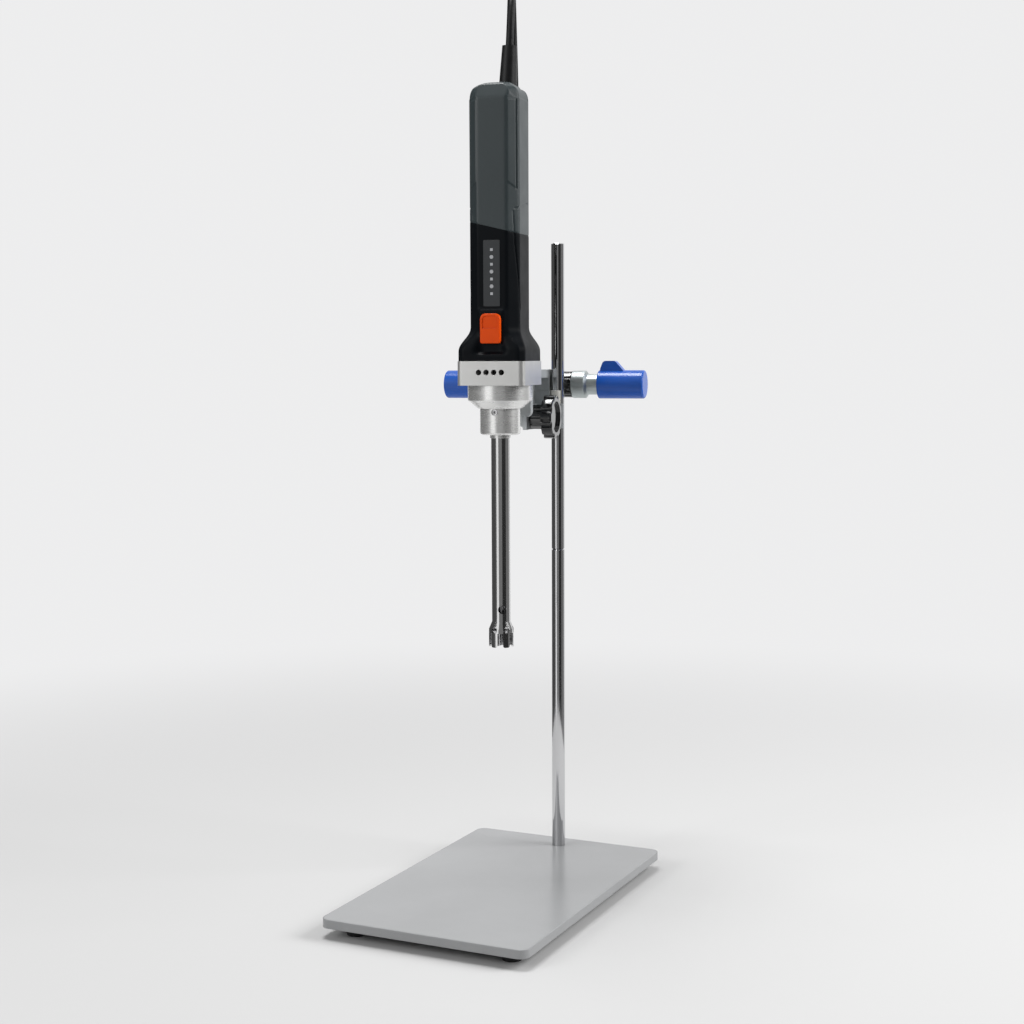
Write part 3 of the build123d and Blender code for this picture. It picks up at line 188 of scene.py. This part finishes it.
class Surface:
    def __init__(self, name, colour, roughness, metallic=0.0):
        self.material = bpy.data.materials.new(name)
        self.material.use_nodes = True
        self.tree = self.material.node_tree
        self.shader = self.tree.nodes["Principled BSDF"]
        self.shader.inputs["Base Color"].default_value = (*colour, 1)
        self.shader.inputs["Roughness"].default_value = roughness
        self.shader.inputs["Metallic"].default_value = metallic
        self.colour = colour
        self.roughness = roughness
        self.place = self.tree.nodes.new("ShaderNodeTexCoord")
        self.normal = None

    def link(self, source, target):
        self.tree.links.new(source, target)

    def mapped(self, stretch):
        mapping = self.tree.nodes.new("ShaderNodeMapping")
        mapping.inputs["Scale"].default_value = stretch
        self.link(self.place.outputs["Object"], mapping.inputs["Vector"])
        return mapping.outputs["Vector"]

    def noise(self, scale, detail, stretch):
        texture = self.tree.nodes.new("ShaderNodeTexNoise")
        texture.inputs["Scale"].default_value = scale
        texture.inputs["Detail"].default_value = detail
        self.link(self.mapped(stretch), texture.inputs["Vector"])
        return texture.outputs["Fac"]

    def spread(self, source, low, high):
        span = self.tree.nodes.new("ShaderNodeMapRange")
        span.inputs["From Min"].default_value = noise_low
        span.inputs["From Max"].default_value = noise_high
        span.inputs["To Min"].default_value = low
        span.inputs["To Max"].default_value = high
        self.link(source, span.inputs["Value"])
        return span.outputs["Result"]

    def vary_colour(self, scale, amount, stretch=(1, 1, 1)):
        ramp = self.tree.nodes.new("ShaderNodeValToRGB")
        dark, light = ramp.color_ramp.elements
        dark.position = noise_low
        light.position = noise_high
        dark.color = (*[part * (1 - amount) for part in self.colour], 1)
        light.color = (*[min(1, part * (1 + amount)) for part in self.colour], 1)
        self.link(self.noise(scale, tone_detail, stretch), ramp.inputs["Fac"])
        self.link(ramp.outputs["Color"], self.shader.inputs["Base Color"])

    def vary_roughness(self, scale, amount, stretch=(1, 1, 1)):
        low = self.roughness * (1 - amount)
        high = self.roughness * (1 + amount)
        source = self.spread(self.noise(scale, tone_detail, stretch), low, high)
        self.link(source, self.shader.inputs["Roughness"])

    def soften(self, radius):
        edge = self.tree.nodes.new("ShaderNodeBevel")
        edge.samples = edge_samples
        edge.inputs["Radius"].default_value = radius
        self.normal = edge.outputs["Normal"]
        self.link(self.normal, self.shader.inputs["Normal"])

    def bump(self, source, height, strength):
        node = self.tree.nodes.new("ShaderNodeBump")
        node.inputs["Strength"].default_value = strength
        node.inputs["Distance"].default_value = height
        self.link(source, node.inputs["Height"])
        if self.normal is not None:
            self.link(self.normal, node.inputs["Normal"])
        self.normal = node.outputs["Normal"]
        self.link(self.normal, self.shader.inputs["Normal"])

    def grain(self, scale, height, strength, stretch=(1, 1, 1)):
        self.bump(self.noise(scale, grain_detail, stretch), height, strength)

    def rings(self, scale, height, strength):
        wave = self.tree.nodes.new("ShaderNodeTexWave")
        wave.bands_direction = "Z"
        wave.inputs["Scale"].default_value = scale
        wave.inputs["Distortion"].default_value = ring_distortion
        wave.inputs["Detail"].default_value = ring_detail
        self.link(self.place.outputs["Object"], wave.inputs["Vector"])
        self.bump(wave.outputs["Fac"], height, strength)

    def set(self, socket, value):
        self.shader.inputs[socket].default_value = value


def painted_plate():
    surface = Surface("plate_paint", colour=(0.295, 0.30, 0.305), roughness=0.21)
    surface.vary_colour(scale=9, amount=0.05)
    surface.vary_roughness(scale=14, amount=0.15)
    surface.soften(radius=0.0006)
    surface.grain(scale=1400, height=0.00001, strength=0.2)
    surface.set("Specular IOR Level", 0.45)
    return surface


def foot_rubber():
    surface = Surface("foot_rubber", colour=(0.012, 0.012, 0.013), roughness=0.7)
    surface.vary_roughness(scale=60, amount=0.15)
    surface.soften(radius=0.0006)
    surface.grain(scale=900, height=0.00008, strength=0.4)
    return surface


def column_chrome():
    surface = Surface("column_chrome", colour=(0.62, 0.62, 0.63), roughness=0.08, metallic=1.0)
    surface.vary_colour(scale=25, amount=0.05, stretch=(1, 1, 0.1))
    surface.vary_roughness(scale=40, amount=0.35, stretch=(1, 1, 0.06))
    surface.grain(scale=260, height=0.000004, strength=0.2, stretch=(1, 1, 0.04))
    return surface


def tube_steel():
    surface = Surface("tube_steel", colour=(0.66, 0.66, 0.66), roughness=0.11, metallic=1.0)
    surface.vary_colour(scale=40, amount=0.05, stretch=(1, 1, 0.1))
    surface.vary_roughness(scale=60, amount=0.3, stretch=(1, 1, 0.08))
    surface.grain(scale=420, height=0.000002, strength=0.2, stretch=(1, 1, 0.05))
    return surface


def turned_steel():
    surface = Surface("steel", colour=(0.55, 0.55, 0.56), roughness=0.26, metallic=1.0)
    surface.vary_colour(scale=120, amount=0.08)
    surface.vary_roughness(scale=200, amount=0.25)
    surface.grain(scale=900, height=0.000004, strength=0.2)
    return surface


def blasted_aluminium():
    surface = Surface("adapter_aluminium", colour=(0.58, 0.58, 0.57), roughness=0.38, metallic=0.80)
    surface.vary_colour(scale=60, amount=0.03)
    surface.vary_roughness(scale=160, amount=0.08)
    surface.soften(radius=0.0005)
    surface.grain(scale=3200, height=0.00002, strength=0.3)
    return surface


def turned_aluminium():
    surface = Surface("adapter_turned", colour=(0.80, 0.80, 0.79), roughness=0.28, metallic=0.80)
    surface.vary_colour(scale=50, amount=0.03)
    surface.vary_roughness(scale=60, amount=0.08, stretch=(1, 1, 8))
    surface.soften(radius=0.0005)
    surface.grain(scale=2600, height=0.000002, strength=0.1)
    return surface


def cast_grey():
    surface = Surface("casting_grey", colour=(0.40, 0.42, 0.43), roughness=0.42, metallic=0.55)
    surface.vary_colour(scale=45, amount=0.12)
    surface.vary_roughness(scale=70, amount=0.2)
    surface.soften(radius=0.0009)
    surface.grain(scale=420, height=0.00022, strength=0.45)
    surface.grain(scale=1600, height=0.00005, strength=0.4)
    return surface


def ferrule_metal():
    surface = Surface("ferrule_metal", colour=(0.46, 0.50, 0.50), roughness=0.36, metallic=0.9)
    surface.vary_colour(scale=90, amount=0.08)
    surface.vary_roughness(scale=120, amount=0.15)
    surface.soften(radius=0.0005)
    surface.grain(scale=300, height=0.000008, strength=0.3, stretch=(12, 1, 1))
    return surface


def knob_black():
    surface = Surface("knob_black", colour=(0.0015, 0.0015, 0.002), roughness=0.10)
    surface.vary_roughness(scale=80, amount=0.25)
    surface.soften(radius=0.0006)
    surface.grain(scale=700, height=0.00003, strength=0.3)
    surface.set("Coat Weight", 1.0)
    return surface


def grip_blue():
    surface = Surface("grip_blue", colour=(0.012, 0.086, 0.42), roughness=0.22)
    surface.vary_colour(scale=30, amount=0.05)
    surface.vary_roughness(scale=60, amount=0.15)
    surface.grain(scale=1200, height=0.00002, strength=0.3)
    surface.set("Specular IOR Level", 0.38)
    return surface


def housing_black():
    surface = Surface("housing_black", colour=(0.0028, 0.0038, 0.0052), roughness=0.42)
    surface.vary_colour(scale=30, amount=0.06)
    surface.vary_roughness(scale=50, amount=0.10)
    surface.grain(scale=2600, height=0.00003, strength=0.35)
    surface.set("Specular IOR Level", 0.07)
    return surface


def housing_slate():
    surface = Surface("housing_slate", colour=(0.027, 0.037, 0.040), roughness=0.36)
    surface.vary_colour(scale=20, amount=0.04)
    surface.vary_roughness(scale=50, amount=0.10)
    surface.grain(scale=2600, height=0.00003, strength=0.35)
    surface.set("Specular IOR Level", 0.40)
    return surface


# Lighter copy of the slate: a painted highlight for the housing's right shoulder and top
def slate_painted_highlight():
    surface = Surface("housing_facet_painted_highlight", colour=(0.26, 0.285, 0.29), roughness=0.24)
    surface.vary_colour(scale=300, amount=0.10)
    surface.vary_roughness(scale=200, amount=0.2)
    surface.grain(scale=2600, height=0.00003, strength=0.35)
    return surface


def label_grey():
    surface = Surface("label_grey", colour=(0.010, 0.013, 0.016), roughness=0.36)
    surface.vary_roughness(scale=90, amount=0.15)
    surface.soften(radius=0.0003)
    surface.grain(scale=1500, height=0.00002, strength=0.2)
    return surface


def button_orange():
    surface = Surface("button_orange", colour=(0.74, 0.068, 0.0), roughness=0.34)
    surface.vary_colour(scale=60, amount=0.05)
    surface.vary_roughness(scale=90, amount=0.2)
    surface.soften(radius=0.0006)
    surface.grain(scale=1600, height=0.00004, strength=0.3)
    surface.set("Specular IOR Level", 0.16)
    return surface


def nylon_white():
    surface = Surface("nylon", colour=(0.72, 0.71, 0.66), roughness=0.45)
    surface.vary_colour(scale=80, amount=0.06)
    surface.soften(radius=0.0003)
    surface.grain(scale=900, height=0.00003, strength=0.3)
    return surface


def seal_black():
    surface = Surface("seal_rubber", colour=(0.015, 0.015, 0.015), roughness=0.6)
    surface.vary_roughness(scale=90, amount=0.2)
    surface.grain(scale=900, height=0.00004, strength=0.3)
    return surface


def copper_wire():
    surface = Surface("copper", colour=(0.48, 0.17, 0.07), roughness=0.3, metallic=1.0)
    surface.vary_colour(scale=200, amount=0.15)
    surface.rings(scale=900, height=0.0001, strength=0.6)
    return surface


def laminated_iron():
    surface = Surface("lamination", colour=(0.22, 0.22, 0.23), roughness=0.4, metallic=0.9)
    surface.vary_colour(scale=120, amount=0.12)
    surface.rings(scale=1400, height=0.00005, strength=0.6)
    return surface


def board_green():
    surface = Surface("board_green", colour=(0.012, 0.14, 0.05), roughness=0.35)
    surface.vary_colour(scale=160, amount=0.25)
    surface.grain(scale=500, height=0.00005, strength=0.4)
    return surface


def inner_black():
    surface = Surface("inner_black", colour=(0.014, 0.014, 0.015), roughness=0.45)
    surface.vary_roughness(scale=70, amount=0.2)
    surface.soften(radius=0.0005)
    surface.grain(scale=1400, height=0.00005, strength=0.35)
    return surface


def cord_black():
    surface = Surface("cord_black", colour=(0.0065, 0.0065, 0.007), roughness=0.42)
    surface.vary_roughness(scale=120, amount=0.2)
    surface.grain(scale=1300, height=0.00004, strength=0.35)
    surface.set("Specular IOR Level", 0.25)
    return surface


def pin_metal():
    surface = Surface("pin_brass", colour=(0.60, 0.56, 0.46), roughness=0.22, metallic=1.0)
    surface.vary_roughness(scale=300, amount=0.25)
    surface.soften(radius=0.0003)
    surface.grain(scale=1500, height=0.00001, strength=0.2)
    return surface


finishes = {
    "plate_paint": painted_plate, "foot_rubber": foot_rubber, "column_chrome": column_chrome,
    "tube_steel": tube_steel, "steel": turned_steel, "adapter_aluminium": blasted_aluminium,
    "casting_grey": cast_grey, "ferrule_metal": ferrule_metal, "knob_black": knob_black,
    "grip_blue": grip_blue, "housing_black": housing_black, "housing_slate": housing_slate,
    "label_grey": label_grey, "button_orange": button_orange, "nylon": nylon_white,
    "seal_rubber": seal_black, "copper": copper_wire, "lamination": laminated_iron,
    "board_green": board_green, "inner_black": inner_black, "cord_black": cord_black,
    "pin_brass": pin_metal,
}
materials = {slot: make().material for slot, make in finishes.items()}
turned_material = turned_aluminium().material
# The lighter slate of the painted highlight on the housing's right shoulder and top
painted_highlight_material = slate_painted_highlight().material


def dress(piece, material):
    piece.data.materials.clear()
    piece.data.materials.append(material)


def dress_nodes():
    for row in frame["record"]["subparts"]:
        piece = nodes[row["node"]]
        dress(piece, materials[row["material_slot"]])
    for name in ("adapter_body", "tube_collar"):
        dress(nodes[name], turned_material)


dress_nodes()
dress(mains_cord, materials["cord_black"])

# Motor housing with its moulded contours, in place of the plain shells, in metres
shell_bottom = 0.5044
base_top = 0.5134
flare_top = 0.5344
cap_start = 0.7375
shell_top = 0.749
base_half = 0.0314
side_half = 0.0233
front_half = 0.0245
base_bevel = 0.005
body_bevel = 0.0093
base_round = 0.007
body_round = 0.009
cap_sides = 0.0075
cap_front = 0.0045
cap_back = 0.0035
cap_bevel = 0.005
split_height = 0.6234
split_slope = math.radians(13.5)
row_height = 0.00065
soften_passes = 9
ring_weight = 0.5
row_weight = 0.6
# Switch bay in the front
bay_half = 0.0122
bay_bottom = 0.5112
bay_top = 0.5504
bay_front = 0.027
bay_share = 0.9
# Crown on the top: its centre, then each ring's share of the outline and its rise
crown_centre = (0.0075, 0.006)
crown = ((0.97, 0.0006), (0.88, 0.0015), (0.70, 0.0027), (0.4, 0.0034))
# Points along each part of the outline
segment_points = {"front": 44, "bevel": 22, "side": 48, "round": 12, "back": 22}
bevel_run = body_bevel * math.sqrt(2)
# Raised strip beside each front corner
strip_low = 0.660
strip_high = 0.736
strip_rise = 0.0004
strip_end = 0.0016
strip_slant = 0.6
strip_middle = 0.005
strip_near_edge = 0.0012
strip_far = 0.0102
strip_far_edge = 0.0010
# Step on the shoulders; above it the right shoulder and the top take a lighter slate, a painted highlight
facet_low = 0.7368
facet_run = 0.013
facet_step = 0.0004
facet_rise = 0.0008
facet_side = 0.004
# Seam between the shells: width, depth
seam_groove = (0.0007, 0.0004)
# Grooves on the flank: (run along the outline from the front corner, height), width, depth
flank_grooves = (
    (((0.0104, 0.6576), (0.0104, 0.7354)), 0.0009, 0.0007),
    (((0.0068, 0.6373), (0.0086, 0.6065), (0.0120, 0.578), (0.0152, 0.551)), 0.0010, 0.0006),
    (((0.0085, 0.6398), (0.0200, 0.6425), (0.0390, 0.6462)), 0.0010, 0.0006),
)
cut_tolerance = 0.000001
sharp_angle = math.radians(50)


def ease(value):
    value = min(1.0, max(0.0, value))
    return value * value * (3 - 2 * value)


def blend_sizes(first, second, share):
    return [a + (b - a) * share for a, b in zip(first, second)]


def outline_sizes(height):
    base = (base_half, base_half, base_half, base_bevel, base_round)
    body = (side_half, front_half, front_half, body_bevel, body_round)
    cap = (side_half - cap_sides, front_half - cap_front, front_half - cap_back, cap_bevel, cap_bevel)
    if height <= base_top:
        return base
    if height <= flare_top:
        turn = math.pi * (height - base_top) / (flare_top - base_top)
        return blend_sizes(base, body, (1 - math.cos(turn)) / 2)
    if height <= cap_start:
        return body
    share = min(1.0, (height - cap_start) / (shell_top - cap_start))
    side = side_half - cap_sides * (1 - math.sqrt(1 - share * share))
    return [side] + blend_sizes(body, cap, share)[1:]


def outline_points(height):
    """Points round the housing at one height: place, outward direction and run along the flank."""
    side, front, back, bevel, corner = outline_sizes(height)
    points = []

    def line(start, end, count, run_start=None, run_end=None):
        along = Vector(end) - Vector(start)
        outward = Vector((along.y, -along.x)).normalized()
        for index in range(count):
            share = index / count
            run = None if run_start is None else run_start + (run_end - run_start) * share
            points.append((Vector(start) + along * share, outward, run))

    def arc(centre, first, count):
        for index in range(count):
            angle = math.radians(first + 90 * index / count)
            outward = Vector((math.cos(angle), math.sin(angle)))
            points.append((Vector(centre) + outward * corner, outward, None))

    run_side = bevel_run + (front + back - bevel - corner)
    line((-side + bevel, -front), (side - bevel, -front), segment_points["front"])
    line((side - bevel, -front), (side, -front + bevel), segment_points["bevel"], 0, bevel_run)
    line((side, -front + bevel), (side, back - corner), segment_points["side"], bevel_run, run_side)
    arc((side - corner, back - corner), 0, segment_points["round"])
    line((side - corner, back), (-side + corner, back), segment_points["back"])
    arc((-side + corner, back - corner), 90, segment_points["round"])
    line((-side, back - corner), (-side, -front + bevel), segment_points["side"], run_side, bevel_run)
    line((-side, -front + bevel), (-side + bevel, -front), segment_points["bevel"], bevel_run, 0)
    return points


def groove_depth(distance, width, depth):
    return depth * (1 - ease(distance / width))


def line_distance(run, height, line):
    nearest = math.inf
    for (run_a, height_a), (run_b, height_b) in zip(line, line[1:]):
        along = Vector((run_b - run_a, height_b - height_a))
        offset = Vector((run - run_a, height - height_a))
        share = min(1.0, max(0.0, offset.dot(along) / along.length_squared))
        nearest = min(nearest, (offset - along * share).length)
    return nearest


def contour(run, height, place):
    """How far the moulded surface stands out from the plain outline."""
    seam = abs((height - split_height) * math.cos(split_slope) + place.x * math.sin(split_slope))
    out = -groove_depth(seam, *seam_groove)
    if run is None:
        return out
    slanted = height - strip_low + (run - strip_middle) * strip_slant
    ends = ease(slanted / strip_end) * ease((strip_high - height) / strip_end)
    sides = ease(run / strip_near_edge) * ease((strip_far - run) / strip_far_edge)
    out += strip_rise * ends * sides
    for line, width, depth in flank_grooves:
        out -= groove_depth(line_distance(run, height, line), width, depth)
    return out - facet_step * ease((height - facet_edge(run)) / facet_rise)


def facet_edge(run):
    """Height of the arc below the facet on the housing's shoulder, above which the right shoulder carries a
    painted highlight.
    """
    share = 1 - min(1.0, run / facet_run)
    return facet_low + (shell_top - facet_low) * (1 - math.sqrt(1 - share * share))


def soften(values):
    """Evens out neighbouring points round each ring and up the rings, which rounds the corners."""
    for _ in range(soften_passes):
        beside = numpy.roll(values, 1, axis=1) + numpy.roll(values, -1, axis=1)
        values = values * ring_weight + beside * (1 - ring_weight) / 2
        above_and_below = values[:-2] + values[2:]
        values[1:-1] = values[1:-1] * row_weight + above_and_below * (1 - row_weight) / 2
    return values


def shell_mesh():
    rows = round((shell_top - shell_bottom) / row_height)
    heights = [shell_bottom + (shell_top - shell_bottom) * row / rows for row in range(rows + 1)]
    outlines = [outline_points(height) for height in heights]
    places = numpy.array([[tuple(place) for place, _, _ in outline] for outline in outlines])
    for row, height in enumerate(heights):
        if bay_bottom < height < bay_top:
            in_bay = (abs(places[row, :, 0]) < bay_half) & (places[row, :, 1] < -front_half * bay_share)
            places[row, in_bay, 1] = -bay_front
    places = soften(places)
    work = bmesh.new()
    rings = []
    for height, outline, row_places in zip(heights, outlines, places):
        ring = []
        for (plain, outward, run), place in zip(outline, row_places):
            point = Vector(place) + outward * contour(run, height, plain)
            ring.append(work.verts.new((point.x, point.y, height)))
        rings.append(ring)
    for share, rise in crown:
        moved = [Vector(crown_centre) * (1 - share) + corner.co.xy * share for corner in ring]
        rings.append([work.verts.new((place.x, place.y, shell_top + rise)) for place in moved])
    for lower, upper in zip(rings, rings[1:]):
        for index in range(len(lower)):
            after = (index + 1) % len(lower)
            face = work.faces.new((lower[index], lower[after], upper[after], upper[index]))
            # Faces on the right shoulder above the facet's arc, and the top face, get the painted highlight
            # in lighter slate
            run = outlines[0][index][2]
            on_flank = run is not None and lower[index].co.x > facet_side
            face.material_index = int(on_flank and lower[index].co.z > facet_edge(run))
    work.faces.new(rings[-1]).material_index = 1
    work.faces.new(list(reversed(rings[0])))
    return work


def make_shell(name, node, slot, keep_upper):
    work = whole_shell.copy()
    across = Vector((math.sin(split_slope), 0, math.cos(split_slope)))
    bmesh.ops.bisect_plane(
        work, geom=list(work.verts) + list(work.edges) + list(work.faces), dist=cut_tolerance,
        plane_co=(0, 0, split_height), plane_no=across, clear_outer=not keep_upper, clear_inner=keep_upper,
    )
    mesh = bpy.data.meshes.new(name)
    work.to_mesh(mesh)
    work.free()
    mesh.polygons.foreach_set("use_smooth", [True] * len(mesh.polygons))
    mesh.set_sharp_from_angle(angle=sharp_angle)
    shell = bpy.data.objects.new(name, mesh)
    bpy.context.scene.collection.objects.link(shell)
    dress(shell, materials[slot])
    # Second material: the lighter slate of the painted highlight
    shell.data.materials.append(painted_highlight_material)
    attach(shell, "head")
    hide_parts(node)


whole_shell = shell_mesh()
make_shell("upper_shell", "housing_upper", "housing_slate", True)
make_shell("lower_shell", "housing_lower", "housing_black", False)

# Plain marks on the label panel: squares and dots in a column
label_face = -0.0249
mark_thickness = 0.0001
mark_size = 0.0017
mark_pitch = 0.0065
mark_top = 0.6035
mark_count = 7
dot_sides = 20
square_sides = 4


def mark_print():
    surface = Surface("mark_print", colour=(0.42, 0.43, 0.45), roughness=0.5)
    surface.vary_colour(scale=300, amount=0.08)
    surface.grain(scale=2000, height=0.00001, strength=0.2)
    return surface.material


def make_marks():
    work = bmesh.new()
    for index in range(mark_count):
        centre = (0, label_face - mark_thickness / 2, mark_top - mark_pitch * index)
        sides = dot_sides if index % 2 else square_sides
        made = bmesh.ops.create_cone(
            work, cap_ends=True, segments=sides, radius1=mark_size, radius2=mark_size, depth=mark_thickness,
        )
        turn = Quaternion((1, 0, 0), math.radians(90)) @ Quaternion((0, 0, 1), math.radians(45))
        bmesh.ops.rotate(work, verts=made["verts"], cent=(0, 0, 0), matrix=turn.to_matrix())
        bmesh.ops.translate(work, verts=made["verts"], vec=centre)
    mesh = bpy.data.meshes.new("panel_marks")
    work.to_mesh(mesh)
    work.free()
    marks = bpy.data.objects.new("panel_marks", mesh)
    bpy.context.scene.collection.objects.link(marks)
    dress(marks, mark_print())
    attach(marks, "head")


make_marks()

# Countersunk rim round the set screw, on the round sleeve
sleeve_radius = 0.0184
rim_radius = 0.0028
rim_thickness = 0.00035
rim_flatness = 0.6
rim_segments = 40
rim_sides = 10


def make_screw_rim():
    screw = nodes["set_screw"]
    heights = [(screw.matrix_world @ Vector(corner)).z for corner in screw.bound_box]
    height = (min(heights) + max(heights)) / 2
    work = bmesh.new()
    loops = []
    for index in range(rim_segments):
        angle = math.tau * index / rim_segments
        loop = []
        for side in range(rim_sides):
            turn = math.tau * side / rim_sides
            reach = rim_radius + rim_thickness * math.cos(turn)
            x = reach * math.cos(angle)
            y = -math.sqrt(sleeve_radius ** 2 - x * x) - rim_thickness * rim_flatness * math.sin(turn)
            loop.append(work.verts.new((x, y, height + reach * math.sin(angle))))
        loops.append(loop)
    for index, loop in enumerate(loops):
        after = loops[(index + 1) % rim_segments]
        for side in range(rim_sides):
            other = (side + 1) % rim_sides
            work.faces.new((loop[side], loop[other], after[other], after[side])).smooth = True
    bmesh.ops.recalc_face_normals(work, faces=work.faces)
    mesh = bpy.data.meshes.new("set_screw_rim")
    work.to_mesh(mesh)
    work.free()
    rim = bpy.data.objects.new("set_screw_rim", mesh)
    bpy.context.scene.collection.objects.link(rim)
    dress(rim, materials["steel"])
    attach(rim, "head")


make_screw_rim()

# Pale floor that fades into the pale surroundings, and soft lamps
floor_half = 30.0
floor_paint = (0.56, 0.56, 0.56)
backdrop_colour = (0.85, 0.85, 0.855, 1)
fade_start = 0.35
fade_end = 1.5
fill_strength = 0.36
# Lamps: name, place, side length, power
lamps = (
    ("key_lamp", (2.1, 0.35, 1.5), 1.2, 52),
    ("fill_lamp", (-1.9, -1.9, 1.5), 1.0, 24),
    ("top_lamp", (-0.3, 0.1, 2.4), 0.8, 34),
)
lamp_target = (0, 0, 0.4)


def make_floor():
    mesh = bpy.data.meshes.new("floor")
    corners = [(-floor_half, -floor_half, 0), (floor_half, -floor_half, 0),
               (floor_half, floor_half, 0), (-floor_half, floor_half, 0)]
    mesh.from_pydata(corners, [], [(0, 1, 2, 3)])
    floor = bpy.data.objects.new("floor", mesh)
    bpy.context.scene.collection.objects.link(floor)
    material = bpy.data.materials.new("floor_paint")
    material.use_nodes = True
    tree = material.node_tree
    tree.nodes.clear()
    near = tree.nodes.new("ShaderNodeBsdfDiffuse")
    near.inputs["Color"].default_value = (*floor_paint, 1)
    far = tree.nodes.new("ShaderNodeEmission")
    far.inputs["Color"].default_value = backdrop_colour
    place = tree.nodes.new("ShaderNodeNewGeometry")
    reach = tree.nodes.new("ShaderNodeVectorMath")
    reach.operation = "LENGTH"
    fade = tree.nodes.new("ShaderNodeMapRange")
    fade.interpolation_type = "SMOOTHSTEP"
    fade.inputs["From Min"].default_value = fade_start
    fade.inputs["From Max"].default_value = fade_end
    rays = tree.nodes.new("ShaderNodeLightPath")
    bounce = tree.nodes.new("ShaderNodeMapRange")
    bounce.inputs["To Min"].default_value = 1
    bounce.inputs["To Max"].default_value = 0
    share = tree.nodes.new("ShaderNodeMath")
    share.operation = "MULTIPLY"
    mix = tree.nodes.new("ShaderNodeMixShader")
    out = tree.nodes.new("ShaderNodeOutputMaterial")
    tree.links.new(place.outputs["Position"], reach.inputs[0])
    tree.links.new(reach.outputs["Value"], fade.inputs["Value"])
    tree.links.new(rays.outputs["Is Diffuse Ray"], bounce.inputs["Value"])
    tree.links.new(fade.outputs["Result"], share.inputs[0])
    tree.links.new(bounce.outputs["Result"], share.inputs[1])
    tree.links.new(share.outputs[0], mix.inputs[0])
    tree.links.new(near.outputs[0], mix.inputs[1])
    tree.links.new(far.outputs[0], mix.inputs[2])
    tree.links.new(mix.outputs[0], out.inputs["Surface"])
    mesh.materials.append(material)


def make_world():
    world = bpy.data.worlds.new("studio")
    bpy.context.scene.world = world
    world.use_nodes = True
    tree = world.node_tree
    tree.nodes.clear()
    out = tree.nodes.new("ShaderNodeOutputWorld")
    mix = tree.nodes.new("ShaderNodeMixShader")
    fill = tree.nodes.new("ShaderNodeBackground")
    fill.inputs["Color"].default_value = (1, 1, 1, 1)
    fill.inputs["Strength"].default_value = fill_strength
    seen = tree.nodes.new("ShaderNodeBackground")
    seen.inputs["Color"].default_value = backdrop_colour
    rays = tree.nodes.new("ShaderNodeLightPath")
    first = tree.nodes.new("ShaderNodeMath")
    first.operation = "MAXIMUM"
    second = tree.nodes.new("ShaderNodeMath")
    second.operation = "MAXIMUM"
    tree.links.new(rays.outputs["Is Camera Ray"], first.inputs[0])
    tree.links.new(rays.outputs["Is Glossy Ray"], first.inputs[1])
    tree.links.new(first.outputs[0], second.inputs[0])
    tree.links.new(rays.outputs["Is Transmission Ray"], second.inputs[1])
    tree.links.new(second.outputs[0], mix.inputs[0])
    tree.links.new(fill.outputs[0], mix.inputs[1])
    tree.links.new(seen.outputs[0], mix.inputs[2])
    tree.links.new(mix.outputs[0], out.inputs["Surface"])


def make_lamp(name, place, side, power):
    data = bpy.data.lights.new(name, "AREA")
    data.size = side
    data.energy = power
    lamp = bpy.data.objects.new(name, data)
    bpy.context.scene.collection.objects.link(lamp)
    lamp.location = place
    lamp.rotation_mode = "QUATERNION"
    lamp.rotation_quaternion = (Vector(lamp_target) - Vector(place)).to_track_quat("-Z", "Y")


# Curved cards round the object, seen in reflections alone, with angles from the front to the right
card_radius = 0.62
card_low = 0.0
card_high = 2.2
card_step = 4
# Cards: first angle, last angle, brightness
cards = (
    (-138, -52, 0.08),
    (-52, -38, 0.14),
    (-38, -10, 1.05),
    (-10, 34, 0.22),
    (34, 84, 0.03),
    (84, 138, 0.20),
)


def reflector_card(name, first, last, shade):
    steps = max(1, round((last - first) / card_step))
    corners = []
    for index in range(steps + 1):
        angle = math.radians(first + (last - first) * index / steps)
        x = card_radius * math.sin(angle)
        y = -card_radius * math.cos(angle)
        corners += [(x, y, card_low), (x, y, card_high)]
    faces = [(start, start + 2, start + 3, start + 1) for start in range(0, 2 * steps, 2)]
    mesh = bpy.data.meshes.new(name)
    mesh.from_pydata(corners, [], faces)
    card = bpy.data.objects.new(name, mesh)
    bpy.context.scene.collection.objects.link(card)
    material = bpy.data.materials.new(name)
    material.use_nodes = True
    tree = material.node_tree
    tree.nodes.clear()
    glow = tree.nodes.new("ShaderNodeEmission")
    glow.inputs["Color"].default_value = (shade, shade, shade, 1)
    out = tree.nodes.new("ShaderNodeOutputMaterial")
    tree.links.new(glow.outputs[0], out.inputs["Surface"])
    mesh.materials.append(material)
    card.visible_camera = False
    card.visible_diffuse = False
    card.visible_shadow = False
    card.visible_transmission = False
    card.visible_volume_scatter = False


make_floor()
make_world()
for lamp in lamps:
    make_lamp(*lamp)
for index, card in enumerate(cards):
    reflector_card(f"reflector_card_{index}", *card)

bpy.context.scene.view_settings.view_transform = "Standard"
